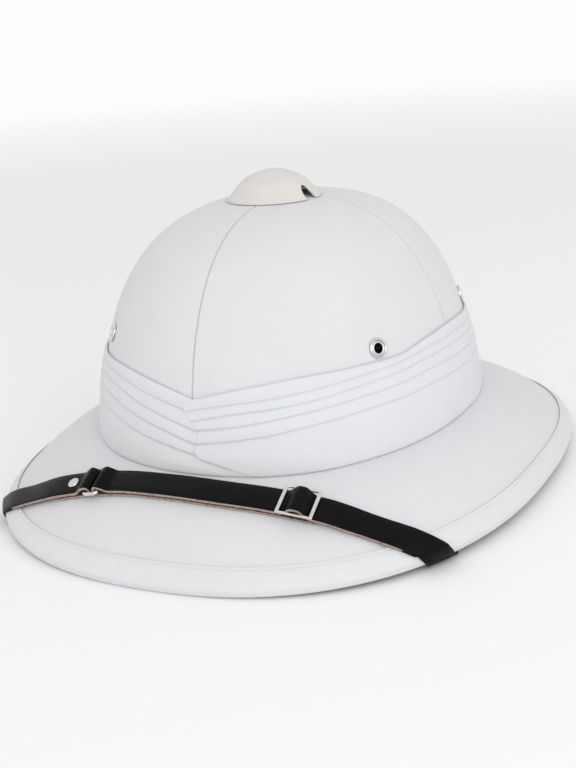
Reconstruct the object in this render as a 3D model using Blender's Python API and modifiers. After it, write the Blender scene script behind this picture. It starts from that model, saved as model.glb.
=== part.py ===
"""White pith helmet with a pleated pugaree, a vent cap, four eyelets and a black leather chin strap
that lies over the front of the brim.

Metres, +Z up. The origin is under the helmet's centre, on the surface that it stands on. The front is
-Y and the wearer's left is +X. An angle is measured round the crown from the front towards +X. The
crown is built round Z, and the whole helmet is moved forwards at the end, because its brim is longer
behind.
"""

import math

import bmesh
import bpy
from mathutils import Matrix, Vector

# Crown
CROWN_HALF_WIDTH = 0.095
CROWN_HALF_LENGTH = 0.110
CROWN_HEIGHT = 0.111
CROWN_WALL = 0.004
CROWN_PLAN_POWER = 2.17
CROWN_SIDE_POWER = 3.03
CROWN_TOP_POWER = 2.09
CROWN_RINGS = 11

# Brim: a fall is measured down from the level where the crown starts
BRIM_HALF_WIDTH = 0.1434
BRIM_FRONT_LENGTH = 0.1682
BRIM_BACK_LENGTH = 0.174
BRIM_PLAN_POWER = 2.4
BRIM_WALL = 0.0037
BRIM_FALL_ENDS = 0.0352
BRIM_FALL_SIDES = 0.0308
BRIM_FALL_BLEND = 4
BRIM_ROOT_FALL_ENDS = 0.0038
BRIM_ROOT_FALL_SIDES = 0.0012
BRIM_BEND_ENDS = 0.57
BRIM_BEND_SIDES = 0.74
BRIM_RINGS = 5

# Cloth binding round the brim's edge
BINDING_WALL = 0.001
BINDING_WIDTH = 0.0078
BINDING_BEAD = 0.0045
BINDING_TUCK = 0.0018

# Pugaree: its thicknesses are measured out from the crown's cloth
PUGAREE_HEIGHT = 0.0455
PUGAREE_FOOT_THICKNESS = 0.00445
PUGAREE_TOP_THICKNESS = 0.0015
PLEAT_THICKENING = 0.0004
PLEAT_STEP = 0.0009
PLEAT_LIP = 0.0004
PUGAREE_EDGE_ROUND = 0.0008

# Vent cap and the collar that carries it in the crown's top hole
CAP_RADIUS = 0.0254
CAP_HEIGHT = 0.0142
CAP_THICKNESS = 0.0022
CAP_NOTCH_RADIUS = 0.0038
CAP_NOTCH_HEIGHT = 0.0068
CAP_NOTCH_ANGLE = math.radians(78)
CAP_ASIDE = -0.0018
CAP_FORWARD = 0.0024
COLLAR_RADIUS = 0.0115
COLLAR_BORE_RADIUS = 0.008
COLLAR_FLANGE_RADIUS = 0.016
COLLAR_FLANGE = 0.0015

# The cap's outer shape: shares of its radius and of its height from its rim to its top
CAP_ROWS = (
    {"out": 1.00, "up": 0.00},
    {"out": 0.92, "up": 0.10},
    {"out": 0.84, "up": 0.25},
    {"out": 0.74, "up": 0.46},
    {"out": 0.60, "up": 0.67},
    {"out": 0.42, "up": 0.84},
    {"out": 0.22, "up": 0.96},
    {"out": 0.00, "up": 1.00},
)

# Eyelets
EYELET_RADIUS = 0.005
EYELET_BARREL_RADIUS = 0.0036
EYELET_BORE_RADIUS = 0.0025
EYELET_FLANGE = 0.0009
EYELET_HEIGHT = 0.048
EYELET_FRONT_RIGHT_HEIGHT = 0.053
EYELET_FRONT_LEFT_ANGLE = math.radians(52.8)
EYELET_FRONT_RIGHT_ANGLE = math.radians(-40.5)
EYELET_BACK_ANGLE = math.radians(122)

# Leather chin strap
STRAP_WIDTH = 0.014
STRAP_THICKNESS = 0.0018
STRAP_STEP = 0.006
LEAF_LONG = 0.1125
LEAF_SHORT = 0.0165
RIVET_PLACE = 0.0095
RIVET_HEAD_RADIUS = 0.003
RIVET_HEAD = 0.0011
RIVET_SHANK_RADIUS = 0.0012
STRAP_TAIL = 0.009
STRAP_RISE_START = 0.007
STRAP_RISE = 0.006
SKEW_START = 0.024
SKEW_LENGTH = 0.016
LEAF_END_GAP = 0.001
LEAF_STEP_DOWN = 0.012

# Where a strap turns below the crown's lower edge, as shares of its width, and how far it has turned
TURN_INWARDS = 0.2
TURN_FORWARDS = 1.2
TURN_DOWN = 0.3
HALF_TURNED = 0.45

# Wire ring and slide buckle
RING_LENGTH = 0.0075
RING_WIDTH = 0.0172
RING_WIRE_RADIUS = 0.001
BUCKLE_LENGTH = 0.018
BUCKLE_WIDTH = 0.0172
BUCKLE_BAR = 0.0018
BUCKLE_PLATE = 0.0014
BUCKLE_PLACE = 0.1036
BUCKLE_EDGE_ROUND = 0.0003

# Studs inside the crown, on its sides
STUD_HEIGHT = 0.018
STUD_HEAD_RADIUS = 0.0045
STUD_HEAD = 0.0014
STUD_SHANK_RADIUS = 0.0018
STUD_DEPTH = 0.0025

# Gaps
CLEARANCE = 0.0003
FOLD_CLEARANCE = 0.0006
STUD_STANDOFF = 0.0008

COLUMNS = 56
TURNED_STEPS = 14

# Heights of the pugaree's folds above the crown's start, as shares of PUGAREE_HEIGHT. The folds cross
# low in front, because the two ends of the cloth meet there, and lie level behind.
FOLD_NAMES = ("top", "second", "third", "fourth", "lowest")
FOLD_ROWS = (
    {"angle": -180, "top": 0.95, "second": 0.86, "third": 0.75, "fourth": 0.62, "lowest": 0.48},
    {"angle": -122, "top": 0.93, "second": 0.85, "third": 0.75, "fourth": 0.62, "lowest": 0.48},
    {"angle": -90, "top": 0.99, "second": 0.88, "third": 0.77, "fourth": 0.63, "lowest": 0.48},
    {"angle": -55, "top": 0.93, "second": 0.85, "third": 0.75, "fourth": 0.61, "lowest": 0.45},
    {"angle": -40, "top": 0.93, "second": 0.85, "third": 0.75, "fourth": 0.60, "lowest": 0.44},
    {"angle": -27, "top": 0.93, "second": 0.82, "third": 0.70, "fourth": 0.55, "lowest": 0.38},
    {"angle": -17, "top": 0.88, "second": 0.75, "third": 0.61, "fourth": 0.46, "lowest": 0.29},
    {"angle": -7, "top": 0.80, "second": 0.66, "third": 0.50, "fourth": 0.36, "lowest": 0.21},
    {"angle": 0, "top": 0.72, "second": 0.62, "third": 0.46, "fourth": 0.31, "lowest": 0.17},
    {"angle": 12, "top": 0.82, "second": 0.69, "third": 0.59, "fourth": 0.45, "lowest": 0.31},
    {"angle": 28, "top": 0.91, "second": 0.77, "third": 0.66, "fourth": 0.56, "lowest": 0.41},
    {"angle": 45, "top": 0.93, "second": 0.84, "third": 0.74, "fourth": 0.63, "lowest": 0.49},
    {"angle": 61, "top": 0.93, "second": 0.87, "third": 0.78, "fourth": 0.66, "lowest": 0.51},
    {"angle": 72, "top": 0.98, "second": 0.89, "third": 0.80, "fourth": 0.68, "lowest": 0.52},
    {"angle": 92, "top": 1.00, "second": 0.89, "third": 0.79, "fourth": 0.65, "lowest": 0.49},
    {"angle": 122, "top": 0.93, "second": 0.85, "third": 0.75, "fourth": 0.62, "lowest": 0.48},
    {"angle": 180, "top": 0.95, "second": 0.86, "third": 0.75, "fourth": 0.62, "lowest": 0.48},
)

# The strap's centre line over the brim, from the wire ring outwards: the angle round the crown in
# degrees, and the share of the way from the pugaree's foot to the brim's edge. The short strap's rows
# are mirrored, so that both straps run towards growing angles.
LONG_STRAP_ROWS = (
    {"angle": -27, "out": 0.508},
    {"angle": -21.6, "out": 0.388},
    {"angle": -13, "out": 0.264},
    {"angle": -3.6, "out": 0.219},
    {"angle": 5.4, "out": 0.225},
    {"angle": 14.7, "out": 0.274},
    {"angle": 21.6, "out": 0.342},
    {"angle": 30, "out": 0.480},
    {"angle": 36, "out": 0.620},
    {"angle": 41.3, "out": 0.776},
    {"angle": 45.6, "out": 0.922},
    {"angle": 47.8, "out": 1.0},
)
SHORT_STRAP_ROWS = (
    {"angle": 17, "out": 0.315},
    {"angle": 21.6, "out": 0.388},
    {"angle": 26.8, "out": 0.504},
    {"angle": 31.5, "out": 0.628},
    {"angle": 37, "out": 0.792},
    {"angle": 41.4, "out": 0.94},
    {"angle": 43.1, "out": 1.0},
)
RING_ANGLE = math.radians(-20)

PARTS = bpy.data.collections.new("pith_helmet")
CUTTERS = bpy.data.collections.new("cutters")


def blend(angle, at_ends, at_sides, power=2):
    """A value that goes from the front and the back to the sides."""
    return at_sides + (at_ends - at_sides) * abs(math.cos(angle)) ** power


def plan_radius(angle, half_width, half_length, power):
    across = abs(math.sin(angle)) / half_width
    along = abs(math.cos(angle)) / half_length
    return (across**power + along**power) ** (-1 / power)


def around(angle, radius, z):
    return Vector((radius * math.sin(angle), -radius * math.cos(angle), z))


def crown_foot_radius(angle):
    return plan_radius(angle, CROWN_HALF_WIDTH, CROWN_HALF_LENGTH, CROWN_PLAN_POWER)


def brim_radius(angle):
    """The brim reaches further behind than in front."""
    length = BRIM_FRONT_LENGTH if math.cos(angle) > 0 else BRIM_BACK_LENGTH
    return plan_radius(angle, BRIM_HALF_WIDTH, length, BRIM_PLAN_POWER)


def foot_radius(angle):
    """Where the pugaree meets the brim."""
    return crown_foot_radius(angle) + CLEARANCE + PUGAREE_FOOT_THICKNESS


def edge_fall(angle):
    return blend(angle, BRIM_FALL_ENDS, BRIM_FALL_SIDES, BRIM_FALL_BLEND)


# The bottom of the binding on the front facet touches the ground.
CROWN_START = edge_fall(math.pi / COLUMNS) + BRIM_WALL + CLEARANCE + BINDING_WALL


def brim_top(angle, radius):
    """Height of the brim's upper face. It falls slowly at first and steeply at the edge."""
    foot = foot_radius(angle)
    share = (radius - foot) / (brim_radius(angle) - foot)
    bend = blend(angle, BRIM_BEND_ENDS, BRIM_BEND_SIDES)
    root = blend(angle, BRIM_ROOT_FALL_ENDS, BRIM_ROOT_FALL_SIDES)
    return CROWN_START - root - (edge_fall(angle) - root) * ((1 - bend) * share + bend * share**2)


def crown_radius(angle, z):
    """Radius of the crown's outer face at a height."""
    share = max(0.0, (z - CROWN_START) / CROWN_HEIGHT)
    return crown_foot_radius(angle) * (1 - share**CROWN_TOP_POWER) ** (1 / CROWN_SIDE_POWER)


def crown_normal(angle, z):
    step = 0.0005
    low = around(angle, crown_radius(angle, z - step), z - step)
    high = around(angle, crown_radius(angle, z + step), z + step)
    before = around(angle - step, crown_radius(angle - step, z), z)
    after = around(angle + step, crown_radius(angle + step, z), z)
    return (after - before).cross(high - low).normalized()


def column_angles():
    """The middle of one facet faces each of the front, the back and the sides."""
    return [2 * math.pi * (column + 0.5) / COLUMNS for column in range(COLUMNS)]


def signed(angle):
    return (angle + math.pi) % (2 * math.pi) - math.pi


def curve_through(rows, key, at):
    """A smooth curve through a table's rows, read at one angle in degrees."""
    last = len(rows) - 2
    index = max(i for i in range(last + 1) if i == 0 or rows[i]["angle"] <= at)
    before, after = rows[index], rows[index + 1]
    span = after["angle"] - before["angle"]

    def slope(row):
        left, right = rows[max(row - 1, 0)], rows[min(row + 1, last + 1)]
        return (right[key] - left[key]) / (right["angle"] - left["angle"])

    share = (at - before["angle"]) / span
    start, end = slope(index) * span, slope(index + 1) * span
    if not 0 <= share <= 1:
        return before[key] + start * share if share < 0 else after[key] + end * (share - 1)
    rise = after[key] - before[key]
    return (
        before[key]
        + share * start
        + share**2 * (3 * rise - 2 * start - end)
        + share**3 * (start + end - 2 * rise)
    )


def fold_height(name, angle):
    """Height of one of the pugaree's folds above the crown's start."""
    degrees = math.degrees(signed(angle))
    after = next(i for i, row in enumerate(FOLD_ROWS) if i and row["angle"] >= degrees)
    low, high = FOLD_ROWS[after - 1], FOLD_ROWS[after]
    share = (degrees - low["angle"]) / (high["angle"] - low["angle"])
    return PUGAREE_HEIGHT * (low[name] + (high[name] - low[name]) * share)


def make_material(name, colour, roughness, metallic=0.0):
    material = bpy.data.materials.new(name)
    material.use_nodes = True
    shader = material.node_tree.nodes["Principled BSDF"]
    shader.inputs["Base Color"].default_value = (*colour, 1)
    shader.inputs["Roughness"].default_value = roughness
    shader.inputs["Metallic"].default_value = metallic
    return material


def add_object(name, mesh, material, collection=PARTS):
    body = bpy.data.objects.new(name, mesh)
    collection.objects.link(body)
    if material is not None:
        mesh.materials.append(material)
    if collection is CUTTERS:
        body.hide_render = True
        body.display_type = "WIRE"
    return body


def shade(mesh, angle=30):
    mesh.shade_smooth()
    mesh.set_sharp_from_angle(angle=math.radians(angle))


def mesh_from(name, points, faces):
    shape = bmesh.new()
    corners = [shape.verts.new(point) for point in points]
    for face in faces:
        shape.faces.new([corners[i] for i in face])
    bmesh.ops.recalc_face_normals(shape, faces=shape.faces)
    mesh = bpy.data.meshes.new(name)
    shape.to_mesh(mesh)
    shape.free()
    shade(mesh)
    return mesh


def grid_faces(rows, columns, close_rows, close_columns):
    """Quads between neighbouring points of a table of rows."""
    faces = []
    for row in range(rows if close_rows else rows - 1):
        for column in range(columns if close_columns else columns - 1):
            right = (column + 1) % columns
            up = (row + 1) % rows
            faces.append(
                (
                    row * columns + column,
                    row * columns + right,
                    up * columns + right,
                    up * columns + column,
                )
            )
    return faces


def ring_loft(name, section, material):
    """A closed band round the crown. The section gives (radius, height) points at one angle."""
    sections = [[around(angle, *point) for point in section(angle)] for angle in column_angles()]
    points = [point for column in sections for point in column]
    faces = grid_faces(len(sections), len(sections[0]), True, True)
    return add_object(name, mesh_from(name, points, faces), material)


def turned(name, profile, material, collection=PARTS, steps=TURNED_STEPS):
    """A closed profile of (radius, height) points turned round Z, from its outer side's top downwards."""
    shape = bmesh.new()
    corners = [shape.verts.new((radius, 0, z)) for radius, z in profile]
    for start, end in zip(corners, [*corners[1:], corners[0]]):
        if max(start.co.x, end.co.x) > 0:
            shape.edges.new((start, end))
    mesh = bpy.data.meshes.new(name)
    shape.to_mesh(mesh)
    shape.free()
    body = add_object(name, mesh, material, collection)
    screw = body.modifiers.new("turn", "SCREW")
    screw.steps = steps
    screw.render_steps = steps
    screw.use_merge_vertices = True
    screw.merge_threshold = 1e-5
    screw.use_smooth_shade = False
    return body


def cut(body, cutter):
    boolean = body.modifiers.new("cut " + cutter.name, "BOOLEAN")
    boolean.operation = "DIFFERENCE"
    boolean.solver = "EXACT"
    boolean.object = cutter


def drill(name, radius, depth, matrix):
    """A round cutter along its own Z, centred on the matrix's place."""
    shape = bmesh.new()
    bmesh.ops.create_cone(
        shape,
        cap_ends=True,
        segments=TURNED_STEPS,
        radius1=radius,
        radius2=radius,
        depth=depth,
    )
    mesh = bpy.data.meshes.new(name)
    shape.to_mesh(mesh)
    shape.free()
    cutter = add_object(name, mesh, None, CUTTERS)
    cutter.matrix_world = matrix
    return cutter


def facing(place, outwards, along=Vector((0, 0, 1))):
    """A matrix whose Z axis points outwards and whose X axis is near the direction along."""
    across = outwards.cross(along).normalized()
    forward = across.cross(outwards).normalized()
    axes = Matrix((forward, across, outwards)).transposed().to_4x4()
    axes.translation = place
    return axes


def build_crown(cloth):
    top_share = (COLLAR_RADIUS + 2 * CLEARANCE) / CROWN_HALF_WIDTH
    last = math.acos(top_share ** (CROWN_SIDE_POWER / 2))
    angles = column_angles()
    levels = [lambda angle: brim_underside(angle, crown_foot_radius(angle))]
    for ring in range(CROWN_RINGS):
        share = math.sin(last * ring / (CROWN_RINGS - 1)) ** (2 / CROWN_TOP_POWER)
        levels.append(lambda angle, share=share: CROWN_START + CROWN_HEIGHT * share)
    points = [
        around(angle, crown_radius(angle, level(angle)), level(angle))
        for level in levels
        for angle in angles
    ]
    faces = grid_faces(len(levels), len(angles), False, True)
    body = add_object("crown", mesh_from("crown", points, faces), cloth)
    wall = body.modifiers.new("wall", "SOLIDIFY")
    wall.thickness = CROWN_WALL
    wall.offset = -1
    wall.use_even_offset = True
    return body


def brim_underside(angle, radius):
    return brim_top(angle, radius) - BRIM_WALL


def build_brim(cloth):
    def section(angle):
        inner = crown_foot_radius(angle) + CLEARANCE
        outer = brim_radius(angle) - BINDING_WALL - CLEARANCE
        covered = brim_radius(angle) - BINDING_WIDTH
        radii = [inner + (covered - inner) * i / (BRIM_RINGS - 2) for i in range(BRIM_RINGS - 1)]
        radii.append(outer)
        upper = [(radius, brim_top(angle, radius)) for radius in radii]
        lower = [(radius, brim_underside(angle, radius)) for radius in reversed(radii)]
        return upper + lower

    return ring_loft("brim", section, cloth)


def binding_top(angle, radius):
    return brim_top(angle, radius) + CLEARANCE + BINDING_WALL


def binding_bottom(angle, radius):
    return brim_underside(angle, radius) - CLEARANCE - BINDING_WALL


def build_binding(cloth):
    """Cloth folded round the edge, with a flat bead below that the helmet stands on."""

    def section(angle):
        edge = brim_radius(angle)
        inside = edge - BINDING_WALL - CLEARANCE
        start = edge - BINDING_WIDTH
        bead = edge - BINDING_BEAD
        middle = (start + edge) / 2
        ground = binding_bottom(angle, edge)
        return [
            (start, binding_top(angle, start)),
            (middle, binding_top(angle, middle)),
            (edge, binding_top(angle, edge)),
            (edge - BINDING_TUCK, ground),
            (bead, ground),
            (bead, binding_bottom(angle, bead)),
            (start, binding_bottom(angle, start)),
            (start, brim_underside(angle, start) - CLEARANCE),
            (inside, brim_underside(angle, inside) - CLEARANCE),
            (inside, brim_top(angle, inside) + CLEARANCE),
            (start, brim_top(angle, start) + CLEARANCE),
        ]

    return ring_loft("edge_binding", section, cloth)


def build_pugaree(cloth):
    """Cloth wound round the crown. Each pleat's lower edge stands out over the pleat below it."""

    def section(angle):
        def on_crown(z, thickness):
            return (crown_radius(angle, z) + CLEARANCE + thickness, z)

        heights = {name: CROWN_START + fold_height(name, angle) for name in FOLD_NAMES}
        foot = brim_top(angle, foot_radius(angle)) + CLEARANCE
        top = heights["top"]
        outer = [on_crown(top, PUGAREE_TOP_THICKNESS - PUGAREE_EDGE_ROUND)]
        outer.append(on_crown(top - PUGAREE_EDGE_ROUND, PUGAREE_TOP_THICKNESS))
        for number, name in enumerate(FOLD_NAMES[1:], start=1):
            edge = PUGAREE_TOP_THICKNESS + PLEAT_THICKENING * number
            outer.append(on_crown(heights[name], edge))
            outer.append(on_crown(heights[name] - PLEAT_LIP, edge - PLEAT_STEP))
        outer.append(on_crown(foot, PUGAREE_FOOT_THICKNESS))
        root = brim_top(angle, crown_foot_radius(angle)) + CLEARANCE
        inner = [on_crown(root + (top - root) * i / 3, 0) for i in range(4)]
        return outer + inner

    return ring_loft("pugaree", section, cloth)


def apex():
    return CROWN_START + CROWN_HEIGHT


def cap_seat():
    """Height of the cap's lower rim, just clear of the crown's cloth behind it."""
    share = (CAP_RADIUS - CAP_FORWARD) / CROWN_HALF_LENGTH
    return CROWN_START + CROWN_HEIGHT * (1 - share**CROWN_SIDE_POWER) ** (1 / CROWN_TOP_POWER)


def cap_profile():
    """(radius, height above the crown's apex) from the rim up to the middle."""
    rim = cap_seat() + CLEARANCE - apex()
    return [(CAP_RADIUS * row["out"], rim + (CAP_HEIGHT - rim) * row["up"]) for row in CAP_ROWS]


def build_cap(leather):
    """A bell that thins out to a flat lip. Its thickness is measured straight down."""
    outer = [(radius, apex() + z) for radius, z in reversed(cap_profile())]
    rim = outer[-1][1]
    inner = [(radius, z - CAP_THICKNESS) for radius, z in reversed(outer) if z - CAP_THICKNESS > rim]
    lip = (cap_radius_at(rim + CAP_THICKNESS), rim)
    body = turned("vent_cap", [*outer, lip, *inner], leather, steps=24)
    middle = Vector((CAP_ASIDE, -CAP_FORWARD, 0))
    body.location = middle
    floor = cap_seat() + CLEARANCE
    for side, name in ((1, "left"), (-1, "right")):
        place = middle + around(side * CAP_NOTCH_ANGLE, CAP_RADIUS, floor)
        axes = facing(place, around(side * CAP_NOTCH_ANGLE, 1, 0))
        cutter = drill(f"cap_notch_{name}", CAP_NOTCH_RADIUS, CAP_RADIUS, axes)
        cutter.data.transform(Matrix.Scale(CAP_NOTCH_HEIGHT / CAP_NOTCH_RADIUS, 4, (1, 0, 0)))
        cut(body, cutter)
    return body


def cap_radius_at(height):
    """Radius of the cap's outer face at a height."""
    profile = [(radius, apex() + z) for radius, z in cap_profile()]
    for (wide, low), (narrow, high) in zip(profile, profile[1:]):
        if low <= height <= high:
            return wide + (narrow - wide) * (height - low) / (high - low)
    return 0.0


def cap_inside_height(radius):
    """Height under the cap's dome above a ring of this radius."""
    profile = cap_profile()
    for (wide, low), (narrow, high) in zip(profile, profile[1:]):
        if narrow <= radius <= wide:
            return apex() + low + (high - low) * (wide - radius) / (wide - narrow) - CAP_THICKNESS
    return apex()


def build_collar(metal):
    """A plain tube through the crown's top hole, flanged inside, that carries the cap."""
    top = cap_inside_height(COLLAR_RADIUS + math.hypot(CAP_ASIDE, CAP_FORWARD)) - CLEARANCE
    inner_apex = apex() - CROWN_WALL
    flange_top = inner_apex - crown_sag(COLLAR_FLANGE_RADIUS) - CLEARANCE
    flange_bottom = flange_top - COLLAR_FLANGE
    profile = [
        (COLLAR_RADIUS, top),
        (COLLAR_RADIUS, flange_top),
        (COLLAR_FLANGE_RADIUS, flange_top),
        (COLLAR_FLANGE_RADIUS, flange_bottom),
        (COLLAR_BORE_RADIUS, flange_bottom),
        (COLLAR_BORE_RADIUS, top),
    ]
    return turned("vent_collar", profile, metal)


def crown_sag(radius):
    """How far the crown's inner face has fallen at a radius near its apex."""
    share = radius / (CROWN_HALF_WIDTH - CROWN_WALL)
    return CROWN_HEIGHT * (1 - (1 - share**CROWN_SIDE_POWER) ** (1 / CROWN_TOP_POWER))


def build_eyelets(metal, crown):
    places = (
        ("eyelet_front_left", EYELET_FRONT_LEFT_ANGLE, EYELET_HEIGHT),
        ("eyelet_front_right", EYELET_FRONT_RIGHT_ANGLE, EYELET_FRONT_RIGHT_HEIGHT),
        ("eyelet_back_left", EYELET_BACK_ANGLE, EYELET_HEIGHT),
        ("eyelet_back_right", -EYELET_BACK_ANGLE, EYELET_HEIGHT),
    )
    lip = EYELET_RADIUS - 0.35 * (EYELET_RADIUS - EYELET_BARREL_RADIUS)
    profile = [
        (lip, EYELET_FLANGE),
        (EYELET_RADIUS, EYELET_FLANGE / 3),
        (EYELET_RADIUS, 0),
        (EYELET_BARREL_RADIUS, 0),
        (EYELET_BARREL_RADIUS, -CROWN_WALL - EYELET_FLANGE),
        (EYELET_BORE_RADIUS, -CROWN_WALL - EYELET_FLANGE),
        (EYELET_BORE_RADIUS, EYELET_FLANGE / 2),
    ]
    for name, angle, height in places:
        z = CROWN_START + height
        normal = crown_normal(angle, z)
        surface = around(angle, crown_radius(angle, z), z)
        eyelet = turned(name, profile, metal)
        eyelet.matrix_world = facing(surface + normal * CLEARANCE / 2, normal)
        hole = EYELET_BARREL_RADIUS + CLEARANCE
        cut(crown, drill(name + "_hole", hole, 4 * CROWN_WALL, facing(surface, normal)))


def inside_wall(z):
    """How far from the centre plane the middle of a strap lies, flat on the crown's inner wall."""
    return crown_radius(math.pi / 2, z) - CROWN_WALL - STUD_STANDOFF - STRAP_THICKNESS / 2


def ease(value):
    value = min(1.0, max(0.0, value))
    return value**2 * (3 - 2 * value)


def shares(count):
    return [(step + 1) / count for step in range(count)]


def hermite(start, leave, end, arrive, share):
    """Place and direction of travel on a curve between two places with their directions."""
    pull = 0.8 * (end - start).length
    place = (
        start * (2 * share**3 - 3 * share**2 + 1)
        + leave * (pull * (share**3 - 2 * share**2 + share))
        + end * (3 * share**2 - 2 * share**3)
        + arrive * (pull * (share**3 - share**2))
    )
    travel = (
        start * (6 * share**2 - 6 * share)
        + leave * (pull * (3 * share**2 - 4 * share + 1))
        + end * (6 * share - 6 * share**2)
        + arrive * (pull * (3 * share**2 - 2 * share))
    )
    return place, travel


class StrapRoute:
    """The way of one strap over the brim, round its edge and back under it to a stud.

    The route is worked out on the side of growing angles, and side is -1 for a mirrored strap.
    A place on it is a length from the ring's bar, a share across the width from -1 to 1 and a lift, the
    height of the leather's middle above what it lies on.
    """

    def __init__(self, rows, side, ring):
        self.side = side
        self.samples = []
        count = 240
        first, last = rows[0]["angle"], rows[-1]["angle"]
        for step in range(count + 1):
            degrees = first + (last - first) * step / count
            self.samples.append((math.radians(degrees), curve_through(rows, "out", degrees)))
        places = [self.on_brim(angle, out)[0] for angle, out in self.samples]
        lengths = [0.0]
        for before, after in zip(places, places[1:]):
            lengths.append(lengths[-1] + (after - before).length)
        after = next(i for i, sample in enumerate(self.samples) if i and sample[0] >= ring)
        low, high = self.samples[after - 1][0], self.samples[after][0]
        at_ring = lengths[after - 1] + (ring - low) / (high - low) * (lengths[after] - lengths[after - 1])
        self.lengths = [length - at_ring - RING_LENGTH / 2 for length in lengths]
        self.end = self.lengths[-1]
        edge_step = 0.002
        angle = self.samples[-1][0]
        along = around(angle + edge_step, brim_radius(angle + edge_step), 0)
        along -= around(angle - edge_step, brim_radius(angle - edge_step), 0)
        self.edge_rate = 2 * edge_step / along.length
        place, normal = self.on_brim(angle, 1)
        travel = (places[-1] - places[-3]).normalized()
        rim = (along - normal * along.dot(normal)).normalized()
        self.slant = math.acos(min(1.0, travel.cross(normal).dot(rim.cross(normal))))
        self.drop = binding_top(angle, brim_radius(angle)) - binding_bottom(angle, brim_radius(angle))

    def on_brim(self, angle, out):
        """A point of the brim's outer face, binding included, and its normal."""
        step = 0.0004
        foot = foot_radius(angle)
        radius = foot + (brim_radius(angle) - foot) * out

        def surface(at, from_centre):
            from_edge = brim_radius(at) - from_centre
            covered = ease((BINDING_WIDTH + STRAP_RISE_START - from_edge) / STRAP_RISE)
            rise = (CLEARANCE + BINDING_WALL) * covered
            return around(at, from_centre, brim_top(at, from_centre) + rise)

        turn = step / radius
        around_crown = surface(angle + turn, radius) - surface(angle - turn, radius)
        outwards = surface(angle, radius + step) - surface(angle, radius - step)
        return surface(angle, radius), outwards.cross(around_crown).normalized()

    def centre(self, length):
        """The centre line's (angle, out) at a length from the ring."""
        after = next((i for i, at in enumerate(self.lengths) if i and at >= length), len(self.lengths) - 1)
        share = (length - self.lengths[after - 1]) / (self.lengths[after] - self.lengths[after - 1])
        before, behind = self.samples[after - 1], self.samples[after]
        return (
            before[0] + (behind[0] - before[0]) * share,
            before[1] + (behind[1] - before[1]) * share,
        )

    def frame(self, length):
        """Place, normal, direction of travel and direction across at a length over the brim."""
        step = 0.0005
        place, normal = self.on_brim(*self.centre(length))
        ahead = self.on_brim(*self.centre(min(length + step, self.end)))[0]
        behind = self.on_brim(*self.centre(min(length + step, self.end) - 2 * step))[0]
        travel = (ahead - behind).normalized()
        travel = (travel - normal * travel.dot(normal)).normalized()
        return place, normal, travel, normal.cross(travel)

    def over_brim(self, length, lift):
        """The three points across the strap, with normals, on top of the brim."""
        place, normal, travel, across = self.frame(length)
        to_edge = self.end - length
        shear = math.tan(self.slant) * ease((SKEW_START - to_edge) / SKEW_LENGTH)
        row = []
        for share in (-1, 0, 1):
            flat = place + (across + travel * shear) * (share * STRAP_WIDTH / 2)
            angle = math.atan2(flat.x, -flat.y)
            foot = foot_radius(angle)
            out = (math.hypot(flat.x, flat.y) - foot) / (brim_radius(angle) - foot)
            point, up = self.on_brim(angle, min(out, 1.0))
            row.append((point + up * lift, up))
        return self.mirrored(row)

    def round_edge(self, beyond, lift):
        """The three points across the strap, this far past the brim's top corner."""
        angle = self.samples[-1][0] + beyond * math.tan(self.slant) * self.edge_rate
        half = STRAP_WIDTH / 2 / math.cos(self.slant) * self.edge_rate
        row = []
        for share in (-1, 0, 1):
            at = angle + share * half
            edge = brim_radius(at)
            corner, up = self.on_brim(at, 1)
            outwards = around(at, 1, 0)
            slope = math.atan2(up.z, up.dot(outwards))
            bend = slope * lift
            if beyond <= bend:
                turn = slope - beyond / lift
                middle = corner
            elif beyond <= bend + self.drop:
                turn = 0.0
                middle = corner - Vector((0, 0, beyond - bend))
            else:
                turn = -(beyond - bend - self.drop) / lift
                middle = around(at, edge, binding_bottom(at, edge))
            normal = outwards * math.cos(turn) + Vector((0, 0, math.sin(turn)))
            row.append((middle + normal * lift, normal))
        return self.mirrored(row)

    def edge_length(self, lift):
        """Length of the bend over the top corner, the edge's face and the bend under it."""
        angle = self.samples[-1][0]
        up = self.on_brim(angle, 1)[1]
        slope = math.atan2(up.z, up.dot(around(angle, 1, 0)))
        return slope * lift + self.drop + math.pi / 2 * lift

    def under_brim(self, lift):
        """Rows from the edge's lower corner to the tail above the stud.

        The strap turns on its way, from lying flat under the brim to lying flat on the crown's wall.
        """
        beyond = self.edge_length(lift)
        last = self.mirrored(self.round_edge(beyond, lift))
        before = self.mirrored(self.round_edge(beyond - 0.0002, lift))
        start, under = last[1]
        leave = (start - before[1][0]).normalized()
        wall = inside_wall(CROWN_START + STUD_HEIGHT)
        stud = Vector((wall, 0, CROWN_START + STUD_HEIGHT))
        tail = STRAP_TAIL + STRAP_WIDTH / 4
        lean = (inside_wall(CROWN_START + STUD_HEIGHT + tail) - wall) / tail
        lip = CROWN_START - BRIM_ROOT_FALL_SIDES - BRIM_WALL
        turn = Vector((wall, 0, lip))
        turn -= Vector((TURN_INWARDS, TURN_FORWARDS, TURN_DOWN)) * STRAP_WIDTH
        rise = (stud - turn).normalized()
        arrive = ((turn - start).normalized() + rise).normalized()
        upright = Vector((lean, 0.5, 0.85)).normalized()
        inwards = Vector((-1, 0, 0))
        rows = []
        for share in shares(12):
            centre, travel = hermite(start, leave, turn, arrive, share)
            way = under.lerp(inwards, HALF_TURNED * ease(share))
            rows.append(self.free_row(centre, travel, way, 1 - min(1.0, share * 2.5)))
        for share in shares(6):
            centre, travel = hermite(turn, arrive, stud, upright, share)
            way = under.lerp(inwards, HALF_TURNED + (1 - HALF_TURNED) * ease(share))
            rows.append(self.free_row(centre, travel, way, 0.0))
        for share in shares(2):
            rows.append(self.free_row(stud + upright * (STRAP_TAIL * share), upright, inwards, 0.0))
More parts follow.
